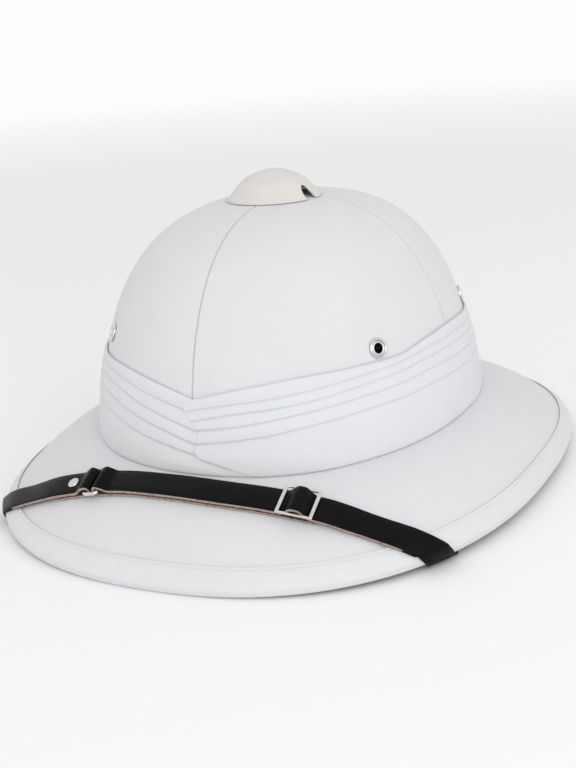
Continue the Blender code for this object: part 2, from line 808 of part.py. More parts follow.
        self.stud_place, self.stud_axis = rows[-3][1]
        return rows

    def free_row(self, centre, travel, normal, lean):
        travel = travel.normalized()
        normal = (normal - travel * normal.dot(travel)).normalized()
        shear = math.tan(self.slant) * ease(lean)
        across = (normal.cross(travel) + travel * shear) * (STRAP_WIDTH / 2)
        return self.mirrored([(centre + across * share, normal) for share in (-1, 0, 1)])

    def mirrored(self, row):
        flip = Vector((self.side, 1, 1))
        return [(point * flip, normal * flip) for point, normal in row]

    def fold(self, length, low, high):
        """Half a turn round a bar at a length, from the leaf below up to the strap above."""
        place, normal, travel, across = self.frame(length)
        radius = (high - low) / 2
        rows = []
        for step in range(1, 8):
            turn = math.pi * (1 - step / 8)
            row = []
            for share in (-1, 0, 1):
                out = normal * math.cos(turn) - travel * math.sin(turn)
                side_point = place + across * (share * STRAP_WIDTH / 2)
                angle = math.atan2(side_point.x, -side_point.y)
                foot = foot_radius(angle)
                reach = (math.hypot(side_point.x, side_point.y) - foot) / (brim_radius(angle) - foot)
                base = self.on_brim(angle, reach)[0]
                row.append((base + normal * (low + radius) + out * radius, out))
            rows.append(row)
        return [self.mirrored(row) for row in rows]


def ribbon(name, rows, leather):
    """A solid strip through rows of (point, normal) across its middle face."""
    half = STRAP_THICKNESS / 2
    points = []
    for row in rows:
        upper = [point + normal * half for point, normal in row]
        lower = [point - normal * half for point, normal in reversed(row)]
        points += upper + lower
    loop = 2 * len(rows[0])
    faces = grid_faces(len(rows), loop, False, True)
    faces.append(tuple(range(loop)))
    faces.append(tuple(range(len(points) - loop, len(points))))
    return add_object(name, mesh_from(name, points, faces), leather)


# Lifts of the leather's middle above the brim
LEAF_LIFT = CLEARANCE + STRAP_THICKNESS / 2
SECOND_LIFT = LEAF_LIFT + STRAP_THICKNESS + CLEARANCE
RING_LIFT = LEAF_LIFT + STRAP_THICKNESS / 2 + FOLD_CLEARANCE + RING_WIRE_RADIUS
RING_TOP_LIFT = 2 * RING_LIFT - LEAF_LIFT
BUCKLE_LIFT = SECOND_LIFT + STRAP_THICKNESS / 2 + FOLD_CLEARANCE + BUCKLE_PLATE / 2
BUCKLE_TOP_LIFT = BUCKLE_LIFT + BUCKLE_PLATE / 2 + FOLD_CLEARANCE + STRAP_THICKNESS / 2


def lift_over_leaf(length, leaf_end):
    """The upper strap comes down from the ring, and down again past the leaf's end."""
    down = ease(length / (RIVET_PLACE - RIVET_HEAD_RADIUS))
    from_ring = RING_TOP_LIFT + (SECOND_LIFT - RING_TOP_LIFT) * down
    past_leaf = ease((length - leaf_end - LEAF_END_GAP) / LEAF_STEP_DOWN)
    return from_ring + (LEAF_LIFT - SECOND_LIFT) * past_leaf


def buckle_lift(length, leaf_end):
    """The long strap goes under the buckle's end bars and over its middle bar."""
    window = BUCKLE_LENGTH / 2 - BUCKLE_BAR * 0.9
    rise = 1 - ease((abs(length - BUCKLE_PLACE) - BUCKLE_BAR * 0.55) / (window - BUCKLE_BAR * 0.55))
    base = lift_over_leaf(length, leaf_end)
    return base + (BUCKLE_TOP_LIFT - base) * rise


def lengths_between(start, end, step):
    count = max(1, round(abs(end - start) / step))
    return [start + (end - start) * i / count for i in range(count + 1)]


def strap_rows(route, leaf, lift_at, buckle=()):
    """Rows of one strap: the leaf under it, the fold round the ring, the top, the edge and below."""
    rows = []
    for length in lengths_between(leaf, 0, STRAP_STEP):
        row = route.over_brim(length, LEAF_LIFT)
        rows.append([(point, -normal) for point, normal in row])
    rows += route.fold(0, LEAF_LIFT, RING_TOP_LIFT)
    stops = [0.0, RIVET_PLACE, *buckle, route.end]
    for start, end in zip(stops, stops[1:]):
        bends = start == 0 or start in buckle[:1]
        for length in lengths_between(start, end, STRAP_STEP / 4 if bends else STRAP_STEP)[:-1]:
            rows.append(route.over_brim(length, lift_at(length)))
    edge = route.edge_length(LEAF_LIFT)
    for beyond in lengths_between(0, edge, 0.0011):
        rows.append(route.round_edge(beyond, LEAF_LIFT))
    return rows + route.under_brim(LEAF_LIFT)


def build_straps(leather, metal, crown):
    long_route = StrapRoute(LONG_STRAP_ROWS, 1, RING_ANGLE)
    short_route = StrapRoute(SHORT_STRAP_ROWS, -1, -RING_ANGLE)
    buckle_span = (BUCKLE_PLACE - BUCKLE_LENGTH / 2, BUCKLE_PLACE + BUCKLE_LENGTH / 2)
    long_rows = strap_rows(
        long_route, LEAF_LONG, lambda length: buckle_lift(length, LEAF_LONG), buckle_span
    )
    short_rows = strap_rows(
        short_route, LEAF_SHORT, lambda length: lift_over_leaf(length, LEAF_SHORT)
    )
    long_strap = ribbon("chin_strap_long", long_rows, leather)
    short_strap = ribbon("chin_strap_short", short_rows, leather)
    build_rivet(short_route, short_strap, metal)
    build_stud("strap_stud_left", long_route, long_strap, crown, metal)
    build_stud("strap_stud_right", short_route, short_strap, crown, metal)
    build_buckle(long_route, metal)
    build_ring(long_route, metal)


def build_ring(route, metal):
    """A rounded oblong of wire, that the ends of both straps fold round."""
    place, normal, travel, across = route.frame(-RING_LENGTH / 2)
    half_length, half_width = RING_LENGTH / 2, RING_WIDTH / 2
    corner = 2 * RING_WIRE_RADIUS
    curve = bpy.data.curves.new("strap_ring", "CURVE")
    curve.dimensions = "3D"
    curve.bevel_depth = RING_WIRE_RADIUS
    curve.bevel_resolution = 2
    line = curve.splines.new("POLY")
    spots = []
    for quarter, (x, y) in enumerate(((1, 1), (-1, 1), (-1, -1), (1, -1))):
        for step in range(4):
            turn = math.pi / 2 * (quarter + step / 3)
            spots.append(
                (
                    x * (half_length - corner) + corner * math.cos(turn),
                    y * (half_width - corner) + corner * math.sin(turn),
                )
            )
    line.points.add(len(spots) - 1)
    for point, (x, y) in zip(line.points, spots):
        point.co = (x, y, 0, 1)
    line.use_cyclic_u = True
    body = bpy.data.objects.new("strap_ring", curve)
    PARTS.objects.link(body)
    curve.materials.append(metal)
    axes = Matrix((travel, across, normal)).transposed().to_4x4()
    axes.translation = place + normal * RING_LIFT
    body.matrix_world = axes
    return body


def box(name, size, material, collection=PARTS):
    shape = bmesh.new()
    bmesh.ops.create_cube(shape, size=1)
    bmesh.ops.scale(shape, vec=size, verts=shape.verts)
    mesh = bpy.data.meshes.new(name)
    shape.to_mesh(mesh)
    shape.free()
    return add_object(name, mesh, material, collection)


def build_buckle(route, metal):
    """A flat frame with a middle bar."""
    place, normal, travel, across = route.frame(BUCKLE_PLACE)
    axes = Matrix((travel, across, normal)).transposed().to_4x4()
    axes.translation = place + normal * BUCKLE_LIFT
    frame = box("slide_buckle", (BUCKLE_LENGTH, BUCKLE_WIDTH, BUCKLE_PLATE), metal)
    frame.matrix_world = axes
    window = (BUCKLE_LENGTH - 3 * BUCKLE_BAR) / 2
    rail = (BUCKLE_WIDTH - STRAP_WIDTH) / 2 - 2 * CLEARANCE
    for side in (-1, 1):
        size = (window, BUCKLE_WIDTH - 2 * rail, 4 * BUCKLE_PLATE)
        opening = box(f"buckle_window_{side + 1}", size, None, CUTTERS)
        shift = Matrix.Translation((side * (window + BUCKLE_BAR) / 2, 0, 0))
        opening.matrix_world = axes @ shift
        cut(frame, opening)
    edges = frame.modifiers.new("edges", "BEVEL")
    edges.width = BUCKLE_EDGE_ROUND
    edges.segments = 1
    edges.limit_method = "ANGLE"
    return frame


def build_rivet(route, strap, metal):
    """A small rivet that holds the short strap's fold. It goes through both of its layers."""
    place, normal, travel, across = route.frame(RIVET_PLACE)
    top = lift_over_leaf(RIVET_PLACE, LEAF_SHORT) + STRAP_THICKNESS / 2 + CLEARANCE
    flip = Vector((route.side, 1, 1))
    axes = facing(place * flip, normal * flip)
    profile = [
        (RIVET_SHANK_RADIUS, top + RIVET_HEAD),
        (RIVET_HEAD_RADIUS, top + RIVET_HEAD / 3),
        (RIVET_HEAD_RADIUS, top),
        (RIVET_SHANK_RADIUS, top),
        (RIVET_SHANK_RADIUS, CLEARANCE),
        (0, CLEARANCE),
        (0, top + RIVET_HEAD),
    ]
    rivet = turned("strap_rivet", profile, metal)
    rivet.matrix_world = axes
    cut(strap, drill("rivet_hole", RIVET_SHANK_RADIUS + CLEARANCE, 4 * top, axes))


def build_stud(name, route, strap, crown, metal):
    """A headed stud in the crown's inner wall, through the strap's end."""
    axes = facing(route.stud_place, route.stud_axis)
    top = STRAP_THICKNESS / 2 + FOLD_CLEARANCE
    wall = -STRAP_THICKNESS / 2 - STUD_STANDOFF
    profile = [
        (STUD_SHANK_RADIUS, top + STUD_HEAD),
        (STUD_HEAD_RADIUS, top + STUD_HEAD / 2),
        (STUD_HEAD_RADIUS, top),
        (STUD_SHANK_RADIUS, top),
        (STUD_SHANK_RADIUS, wall - STUD_DEPTH),
        (0, wall - STUD_DEPTH),
        (0, top + STUD_HEAD),
    ]
    stud = turned(name, profile, metal)
    stud.matrix_world = axes
    hole = STUD_SHANK_RADIUS + CLEARANCE
    cut(strap, drill(name + "_strap_hole", hole, 2 * STRAP_THICKNESS, axes))
    depth = 2 * (-wall + STUD_DEPTH + CLEARANCE)
    cut(crown, drill(name + "_wall_hole", hole, depth, axes))


def main():
    for body in list(bpy.data.objects):
        bpy.data.objects.remove(body, do_unlink=True)
    bpy.context.scene.collection.children.link(PARTS)
    bpy.context.scene.collection.children.link(CUTTERS)
    cloth = make_material("white_cotton", (0.80, 0.81, 0.83), 0.85)
    cap_leather = make_material("warm_white_leather", (0.79, 0.76, 0.71), 0.6)
    strap_leather = make_material("black_leather", (0.016, 0.014, 0.013), 0.38)
    metal = make_material("nickel", (0.62, 0.62, 0.61), 0.25, 1.0)
    crown = build_crown(cloth)
    build_brim(cloth)
    build_binding(cloth)
    build_pugaree(cloth)
    build_cap(cap_leather)
    build_collar(metal)
    build_eyelets(metal, crown)
    build_straps(strap_leather, metal, crown)
    for body in (*PARTS.objects, *CUTTERS.objects):
        body.location.y -= (BRIM_BACK_LENGTH - BRIM_FRONT_LENGTH) / 2


main()
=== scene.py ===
import math

import bmesh
import bpy
from mathutils import Matrix, Vector, noise


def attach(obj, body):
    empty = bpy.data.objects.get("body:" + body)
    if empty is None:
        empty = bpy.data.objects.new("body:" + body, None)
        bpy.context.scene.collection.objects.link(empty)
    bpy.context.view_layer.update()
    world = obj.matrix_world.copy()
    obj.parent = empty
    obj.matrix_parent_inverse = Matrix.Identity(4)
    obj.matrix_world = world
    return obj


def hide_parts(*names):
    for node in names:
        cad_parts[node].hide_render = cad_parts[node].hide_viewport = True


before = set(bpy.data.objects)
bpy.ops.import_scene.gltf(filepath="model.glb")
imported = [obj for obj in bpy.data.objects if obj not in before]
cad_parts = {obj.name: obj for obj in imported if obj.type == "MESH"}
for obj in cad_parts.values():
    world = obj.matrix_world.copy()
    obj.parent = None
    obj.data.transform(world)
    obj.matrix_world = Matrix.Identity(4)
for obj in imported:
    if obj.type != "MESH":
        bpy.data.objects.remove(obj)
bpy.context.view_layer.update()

# Crown
CROWN_HALF_WIDTH = 0.095
CROWN_HALF_LENGTH = 0.110
CROWN_HEIGHT = 0.111
CROWN_WALL = 0.004
CROWN_PLAN_POWER = 2.17
CROWN_SIDE_POWER = 3.03
CROWN_TOP_POWER = 2.09
CROWN_OUTER_LEVELS = 60
CROWN_INNER_LEVELS = 26
PANEL_LINES = 34

# Seams of the crown and the brim
SEAM_LINES = (0, 0.0002, 0.0004, 0.0007, 0.0011, 0.0017, 0.0025, 0.0035, 0.005)
SEAM_DEPTH = 0.0004
SEAM_HALF_WIDTH = 0.00035
SEAM_ALLOWANCE = 0.0032
SEAM_RISE = 0.0001

# Brim
BRIM_HALF_WIDTH = 0.1434
BRIM_FRONT_LENGTH = 0.1682
BRIM_BACK_LENGTH = 0.174
BRIM_PLAN_POWER = 2.4
BRIM_WALL = 0.0037
BRIM_FALL_ENDS = 0.0352
BRIM_FALL_SIDES = 0.0308
BRIM_FALL_BLEND = 4
BRIM_ROOT_FALL_ENDS = 0.0038
BRIM_ROOT_FALL_SIDES = 0.0012
BRIM_BEND_ENDS = 0.57
BRIM_BEND_SIDES = 0.74
BRIM_RINGS = 26
CAD_COLUMNS = 56

# Binding
BINDING_WALL = 0.001
BINDING_WIDTH = 0.0078
BINDING_SIDE_WIDTH = 0.0064
BINDING_HEM = 0.0004
BINDING_BEAD = 0.0045
BINDING_TUCK = 0.0018
BINDING_COLUMNS = 360
JOIN_ANGLE = math.radians(-5.5)
JOIN_SLANT = 4.5
JOIN_RISE = 0.0003
JOIN_SHARPNESS = 0.0022
STITCH_PITCH = 0.0031
STITCH_LENGTH = 0.0023
STITCH_RADIUS = 0.00017
STITCH_FROM_HEM = 0.0012
STITCH_FURROW = 0.00022
STITCH_FURROW_HALF_WIDTH = 0.0003
PUCKER_FINE = 0.0001
PUCKER_BROAD = 0.00018
HEM_LINES = (0.0005, 0.0008, 0.00105, 0.0012, 0.00135, 0.0016, 0.0021, 0.003, 0.0037, 0.0044, 0.005)
HEM_SWELLING = 0.0001
HEM_SWELLING_PLACE = 0.0035
HEM_SWELLING_HALF_WIDTH = 0.0018
RIM_FROM_HEM = 0.009
RIM_TOP_ROUND = 0.0026
RIM_LOW_ROUND = 0.0024

# Pugaree
PUGAREE_HEIGHT = 0.0455
PUGAREE_FOOT_THICKNESS = 0.00445
PUGAREE_TOP_THICKNESS = 0.0015
PLEAT_THICKENING = 0.0004
PLEAT_STEP = 0.0006
PLEAT_SWELLING = 0.0002
FOOT_SWELLING = 0.0005
OVER_END_LIFT = 0.00025
OVER_END_LIFT_LOW = 0.00055
OVER_END_SINKS_FROM = 30
OVER_END_SINKS_OVER = 16
UNDER_END_THINNING = 0.75
UNDER_END_THIN_DEGREES = 2.5
LAP_DEGREES = 12
WRINKLE = 0.00012
WRINKLE_AT_FRONT = 0.0001
WRINKLE_FRONT_DEGREES = 22
METRES_A_DEGREE = 0.0018

# Round the crown the pugaree is made of tracks across the cloth. They are upright between two angles
# in degrees, and turn to the slant of each end outside them.
UPRIGHT_FROM = 34
UPRIGHT_TO = 328
UPRIGHT_TRACK_DEGREES = 1.5
OVER_END_TRACKS = 46
UNDER_END_TRACKS = 60
END_SEARCH_STEPS = 14
END_SEARCH_SHARE = 0.6

# A pleat's turned lower edge: places up from it, how far each lies inside the pleat's face, and how
# much painted shade darkens it in the crease above the next pleat
PLEAT_EDGE_ROWS = (
    {"up": 0.0009, "inside": 0, "painted_shade": 0},
    {"up": 0.0004, "inside": -0.00002, "painted_shade": 0},
    {"up": 0.0001, "inside": 0.00012, "painted_shade": 0},
    {"up": -0.00008, "inside": 0.0004, "painted_shade": 0},
    {"up": -0.0002, "inside": PLEAT_STEP * 0.85, "painted_shade": 0.14},
    {"up": -0.0005, "inside": PLEAT_STEP, "painted_shade": 0.12},
    {"up": -0.0013, "inside": PLEAT_STEP - 0.00008, "painted_shade": 0},
)

# Vent cap and collar
CAP_RADIUS = 0.0254
CAP_HEIGHT = 0.0142
CAP_THICKNESS = 0.0018
CAP_RINGS = 30
CAP_LIP = 0.0005
CAP_LIP_ROUND = 0.0003
CAP_LIP_FADE = 0.5
CAP_NOTCH_RADIUS = 0.0038
CAP_NOTCH_HEIGHT = 0.0068
CAP_NOTCH_ANGLE = math.radians(78)
CAP_ASIDE = -0.0018
CAP_FORWARD = 0.0024
COLLAR_RADIUS = 0.0115
COLLAR_BORE_RADIUS = 0.008
COLLAR_FLANGE_RADIUS = 0.016
COLLAR_FLANGE = 0.0015
COLLAR_BELOW_CAP = 0.0042
COLLAR_TOP_ROUND = 0.0004
COLLAR_LOW_ROUND = 0.0006
COLLAR_BORE_ROUND = 0.001

# Eyelets
EYELET_RADIUS = 0.005
EYELET_BARREL_RADIUS = 0.0036
EYELET_BORE_RADIUS = 0.0025
EYELET_FLANGE = 0.0009
EYELET_HEIGHT = 0.048
EYELET_FRONT_RIGHT_HEIGHT = 0.053
EYELET_FRONT_LEFT_ANGLE = math.radians(52.8)
EYELET_FRONT_RIGHT_ANGLE = math.radians(-40.5)
EYELET_BACK_ANGLE = math.radians(122)

# Leather chin strap
STRAP_WIDTH = 0.014
STRAP_THICKNESS = 0.0018
STRAP_STEP = 0.002
STRAP_EDGE_ROUND = 0.00035
STRAP_DYED_BELOW = 0.0145
LEAF_STEP_DOWN = 0.03
STRAP_PULLED_THIN = 0.62
STRAP_THIN_BELOW = 0.008
STRAP_THIN_FADE = 0.008
EDGE_LIFT_START = 0.01
STRAP_RISE_START = 0.01
STRAP_RISE = 0.012
STRAP_SLANT_SHARE = 0.86
SKEW_START = 0.024
SKEW_LENGTH = 0.016
FRAY_FINE = 0.00012
FRAY_BROAD = 0.0001
LEAF_END_GAP = 0.001
LEAF_LONG = 0.1125
LEAF_SHORT = 0.0165
RIVET_PLACE = 0.0095
RIVET_HEAD_RADIUS = 0.003
RIVET_HEAD = 0.0011
RIVET_SHANK_RADIUS = 0.0012
STRAP_TAIL = 0.009

# The strap's turn below the crown's lip, as shares of its width, and how far it has turned there
TURN_INWARDS = 0.2
TURN_FORWARDS = 1.2
TURN_DOWN = 0.3
HALF_TURNED = 0.45

# Wire ring and slide buckle
RING_LENGTH = 0.0075
RING_WIDTH = 0.0172
RING_WIRE_RADIUS = 0.001
BUCKLE_LENGTH = 0.018
BUCKLE_WIDTH = 0.0172
BUCKLE_BAR = 0.0018
BUCKLE_PLATE = 0.0014
BUCKLE_PLACE = 0.1036
BUCKLE_EDGE_ROUND = 0.00045

# Studs inside the crown
STUD_HEIGHT = 0.018
STUD_HEAD_RADIUS = 0.0045
STUD_HEAD = 0.0014
STUD_SHANK_RADIUS = 0.0018
STUD_DEPTH = 0.0025

# Gaps
CLEARANCE = 0.0003
FOLD_CLEARANCE = 0.0006
STUD_STANDOFF = 0.0008

# The floor glows a little more between two squared distances from the helmet
FLOOR_GLOW = 0.2
FLOOR_GLOW_FROM = 0.3
FLOOR_GLOW_TO = 6.0

FORWARD = (BRIM_BACK_LENGTH - BRIM_FRONT_LENGTH) / 2
TURNED_STEPS = 64

# Heights of the pugaree's folds, as shares of PUGAREE_HEIGHT, from the end that lies on top in front,
# once round the crown, to the end that lies beneath it.
FOLD_NAMES = ("top", "second", "third", "fourth", "lowest")
FOLD_ROWS = (
    {"angle": -8, "top": 0.630, "second": 0.520, "third": 0.420, "fourth": 0.350, "lowest": 0.200},
    {"angle": 3, "top": 0.735, "second": 0.630, "third": 0.520, "fourth": 0.410, "lowest": 0.265},
    {"angle": 12, "top": 0.820, "second": 0.692, "third": 0.590, "fourth": 0.460, "lowest": 0.315},
    {"angle": 20, "top": 0.870, "second": 0.730, "third": 0.628, "fourth": 0.510, "lowest": 0.360},
    {"angle": 28, "top": 0.912, "second": 0.770, "third": 0.662, "fourth": 0.560, "lowest": 0.413},
    {"angle": 45, "top": 0.930, "second": 0.840, "third": 0.745, "fourth": 0.631, "lowest": 0.490},
    {"angle": 61, "top": 0.930, "second": 0.872, "third": 0.780, "fourth": 0.660, "lowest": 0.510},
    {"angle": 72, "top": 0.980, "second": 0.900, "third": 0.806, "fourth": 0.680, "lowest": 0.523},
    {"angle": 92, "top": 1.000, "second": 0.890, "third": 0.790, "fourth": 0.650, "lowest": 0.490},
    {"angle": 122, "top": 0.930, "second": 0.860, "third": 0.750, "fourth": 0.620, "lowest": 0.480},
    {"angle": 180, "top": 0.950, "second": 0.860, "third": 0.750, "fourth": 0.620, "lowest": 0.480},
    {"angle": 238, "top": 0.930, "second": 0.860, "third": 0.750, "fourth": 0.620, "lowest": 0.480},
    {"angle": 270, "top": 0.990, "second": 0.880, "third": 0.770, "fourth": 0.630, "lowest": 0.480},
    {"angle": 305, "top": 0.930, "second": 0.860, "third": 0.750, "fourth": 0.610, "lowest": 0.450},
    {"angle": 320, "top": 0.930, "second": 0.860, "third": 0.750, "fourth": 0.600, "lowest": 0.440},
    {"angle": 333, "top": 0.930, "second": 0.820, "third": 0.705, "fourth": 0.550, "lowest": 0.380},
    {"angle": 343, "top": 0.885, "second": 0.750, "third": 0.610, "fourth": 0.460, "lowest": 0.290},
    {"angle": 353, "top": 0.800, "second": 0.660, "third": 0.500, "fourth": 0.355, "lowest": 0.210},
    {"angle": 360, "top": 0.715, "second": 0.580, "third": 0.410, "fourth": 0.265, "lowest": 0.145},
    {"angle": 372, "top": 0.560, "second": 0.430, "third": 0.260, "fourth": 0.140, "lowest": 0.050},
    {"angle": 392, "top": 0.340, "second": 0.220, "third": 0.100, "fourth": 0.040, "lowest": -0.01},
)

# The vent cap's outer shape: shares of its radius and of its height from its rim to its top
CAP_ROWS = (
    {"out": 1.00, "up": 0.00},
    {"out": 0.92, "up": 0.10},
    {"out": 0.84, "up": 0.25},
    {"out": 0.74, "up": 0.46},
    {"out": 0.60, "up": 0.67},
    {"out": 0.42, "up": 0.84},
    {"out": 0.22, "up": 0.96},
    {"out": 0.00, "up": 1.00},
)

# The slanted edge of the end on top: its angle at a height above the crown's start, in millimetres
END_ROWS = (
    {"height": -6, "angle": 21},
    {"height": -3.6, "angle": 18},
    {"height": -0.5, "angle": 12.5},
    {"height": 2.6, "angle": 8},
    {"height": 6, "angle": 2},
    {"height": 11, "angle": 1.5},
    {"height": 18, "angle": 2},
    {"height": 27, "angle": -1.5},
    {"height": 34, "angle": -1},
    {"height": 46, "angle": 0},
)

# The strap's centre line over the brim, from the wire ring outwards: the angle round the crown in
# degrees, and the share of the way from the pugaree's foot to the brim's edge. The short strap's rows
# are mirrored, so that both straps run towards growing angles.
LONG_STRAP_ROWS = (
    {"angle": -27, "out": 0.508},
    {"angle": -21.6, "out": 0.388},
    {"angle": -13, "out": 0.264},
    {"angle": -3.6, "out": 0.219},
    {"angle": 5.4, "out": 0.225},
    {"angle": 14.7, "out": 0.274},
    {"angle": 21.6, "out": 0.342},
    {"angle": 30, "out": 0.480},
    {"angle": 36, "out": 0.620},
    {"angle": 41.3, "out": 0.776},
    {"angle": 45.6, "out": 0.922},
    {"angle": 47.8, "out": 1.0},
)
SHORT_STRAP_ROWS = (
    {"angle": 17, "out": 0.315},
    {"angle": 21.6, "out": 0.388},
    {"angle": 26.8, "out": 0.504},
    {"angle": 31.5, "out": 0.628},
    {"angle": 37, "out": 0.792},
    {"angle": 41.4, "out": 0.94},
    {"angle": 43.1, "out": 1.0},
)
RING_ANGLE = math.radians(-20)
ACROSS = (-1, -0.5, 0, 0.5, 1)


def blend(angle, at_ends, at_sides, power=2):
    """A value that goes from the front and the back to the sides."""
    return at_sides + (at_ends - at_sides) * abs(math.cos(angle)) ** power


def plan_radius(angle, half_width, half_length, power):
    across = abs(math.sin(angle)) / half_width
    along = abs(math.cos(angle)) / half_length
    return (across**power + along**power) ** (-1 / power)


def around(angle, radius, z):
    return Vector((radius * math.sin(angle), -radius * math.cos(angle), z))


def crown_foot_radius(angle):
    return plan_radius(angle, CROWN_HALF_WIDTH, CROWN_HALF_LENGTH, CROWN_PLAN_POWER)


def brim_radius(angle):
    """The brim reaches further behind than in front."""
    length = BRIM_FRONT_LENGTH if math.cos(angle) > 0 else BRIM_BACK_LENGTH
    return plan_radius(angle, BRIM_HALF_WIDTH, length, BRIM_PLAN_POWER)


def foot_radius(angle):
    """Where the pugaree meets the brim."""
    return crown_foot_radius(angle) + CLEARANCE + PUGAREE_FOOT_THICKNESS


def edge_fall(angle):
    return blend(angle, BRIM_FALL_ENDS, BRIM_FALL_SIDES, BRIM_FALL_BLEND)


CROWN_START = edge_fall(math.pi / CAD_COLUMNS) + BRIM_WALL + CLEARANCE + BINDING_WALL


def brim_top(angle, radius):
    """Height of the brim's upper face. It falls slowly at first and steeply at the edge."""
    foot = foot_radius(angle)
    share = (radius - foot) / (brim_radius(angle) - foot)
    bend = blend(angle, BRIM_BEND_ENDS, BRIM_BEND_SIDES)
    root = blend(angle, BRIM_ROOT_FALL_ENDS, BRIM_ROOT_FALL_SIDES)
    return CROWN_START - root - (edge_fall(angle) - root) * ((1 - bend) * share + bend * share**2)


def crown_radius(angle, z):
    """Radius of the crown's outer face at a height."""
    share = min(1.0, max(0.0, (z - CROWN_START) / CROWN_HEIGHT))
    return crown_foot_radius(angle) * (1 - share**CROWN_TOP_POWER) ** (1 / CROWN_SIDE_POWER)


def crown_normal(angle, z):
    """Direction out of the crown's outer face, from the slope of its equation."""
    share = min(1.0, max(0.0, (z - CROWN_START) / CROWN_HEIGHT))
    place = around(angle, crown_radius(angle, z), z)
    size = place.xy.length / crown_foot_radius(angle)
    power = CROWN_PLAN_POWER
    steep = CROWN_SIDE_POWER * size ** (CROWN_SIDE_POWER - power)
    across = steep * (abs(place.x) / CROWN_HALF_WIDTH) ** (power - 1) / CROWN_HALF_WIDTH
    along = steep * (abs(place.y) / CROWN_HALF_LENGTH) ** (power - 1) / CROWN_HALF_LENGTH
    up = CROWN_TOP_POWER * share ** (CROWN_TOP_POWER - 1) / CROWN_HEIGHT
    return Vector((math.copysign(across, place.x), math.copysign(along, place.y), up)).normalized()


def curve_through(rows, key, at, by="angle"):
    """A smooth curve through a table's rows, read at one place."""
    last = len(rows) - 2
    index = max(i for i in range(last + 1) if i == 0 or rows[i][by] <= at)
    before, after = rows[index], rows[index + 1]
    span = after[by] - before[by]

    def slope(row):
        left, right = rows[max(row - 1, 0)], rows[min(row + 1, last + 1)]
        return (right[key] - left[key]) / (right[by] - left[by])

    share = (at - before[by]) / span
    start, end = slope(index) * span, slope(index + 1) * span
    if not 0 <= share <= 1:
        return before[key] + start * share if share < 0 else after[key] + end * (share - 1)
    rise = after[key] - before[key]
    return (
        before[key]
        + share * start
        + share**2 * (3 * rise - 2 * start - end)
        + share**3 * (start + end - 2 * rise)
    )


def signed(angle):
    return (angle + math.pi) % (2 * math.pi) - math.pi


def ease(value):
    value = min(1.0, max(0.0, value))
    return value**2 * (3 - 2 * value)


def bell(value):
    return math.exp(-(value**2))


class Wire:
    """A value in a material's nodes. Arithmetic on it adds Math nodes."""

    def __init__(self, finish, socket):
        self.finish = finish
        self.socket = socket

    def maths(self, operation, *values):
        return self.finish.add("Math", {"operation": operation}, dict(enumerate(values)))

    def __add__(self, other):
        return self.maths("ADD", self, other)

    __radd__ = __add__

    def __sub__(self, other):
        return self.maths("SUBTRACT", self, other)

    def __rsub__(self, other):
        return self.maths("SUBTRACT", other, self)

    def __mul__(self, other):
        return self.maths("MULTIPLY", self, other)

    __rmul__ = __mul__

    def sine(self):
        return self.maths("SINE", self)

    def size(self):
        return self.maths("ABSOLUTE", self)

    def higher(self, other):
        return self.maths("MAXIMUM", self, other)

    def between(self, low, high):
        """0 below low and 1 above high, smooth in between."""
        settings = {"interpolation_type": "SMOOTHSTEP"}
        return self.finish.add("MapRange", settings, {0: self, 1: low, 2: high})


class Finish:
    """A material whose nodes are added one by one."""

    def __init__(self, name, colour, roughness, **constants):
        self.material = bpy.data.materials.new(name)
        self.material.use_nodes = True
        self.tree = self.material.node_tree
        self.shader = self.tree.nodes["Principled BSDF"]
        self.set("Base Color", (*colour, 1))
        self.set("Roughness", roughness)
        for key, value in constants.items():
            self.set(key.replace("_", " "), value)

    def set(self, socket, value):
        self.fill(self.shader.inputs[socket], value)

    def fill(self, socket, value):
        if isinstance(value, Wire):
            self.tree.links.new(value.socket, socket)
        else:
            socket.default_value = value

    def add(self, kind, settings, sockets, output=0):
        node = self.tree.nodes.new("ShaderNode" + kind)
        for key, value in settings.items():
            setattr(node, key, value)
        for key, value in sockets.items():
            self.fill(node.inputs[key], value)
        return Wire(self, node.outputs[output])

    def laid(self, *scales):
        """The surface's own flat coordinates in metres, times these scales."""
        flat = self.add("UVMap", {"uv_map": "laid"}, {})
        return self.stretch(flat, scales)

    def painted_shade(self):
        """How much painted shade darkens the surface's colour, from 0 to 1: in creases, seam furrows,
        tucked hems and where cloth meets the brim.
        """
        return self.part(self.add("UVMap", {"uv_map": "painted_shade"}, {}), 0)

    def solid(self, *scales):
        place = self.add("TexCoord", {}, {}, output="Object")
        return self.stretch(place, scales)

    def stretch(self, vector, scales):
        return self.add("VectorMath", {"operation": "MULTIPLY"}, {0: vector, 1: scales})

    def part(self, vector, axis):
        return self.add("SeparateXYZ", {}, {0: vector}, output=axis)

    def noise(self, vector, detail=2.0, roughness=0.5, **sockets):
        inputs = {"Vector": vector, "Scale": 1.0, "Detail": detail, "Roughness": roughness}
        return self.add("TexNoise", {}, {**inputs, **sockets})

    def cells(self, vector, feature="F1", output="Distance"):
        return self.add("TexVoronoi", {"feature": feature}, {"Vector": vector, "Scale": 1.0}, output)

    def mix(self, share, first, second):
        colours = [(*c, 1) if isinstance(c, tuple) else c for c in (first, second)]
        settings = {"data_type": "RGBA"}
        return self.add("Mix", settings, {0: share, 6: colours[0], 7: colours[1]}, output=2)

    def bump(self, height, distance, strength=1.0, below=None):
        sockets = {"Height": height, "Distance": distance, "Strength": strength}
        if below is not None:
            sockets["Normal"] = below
        return self.add("Bump", {}, sockets)


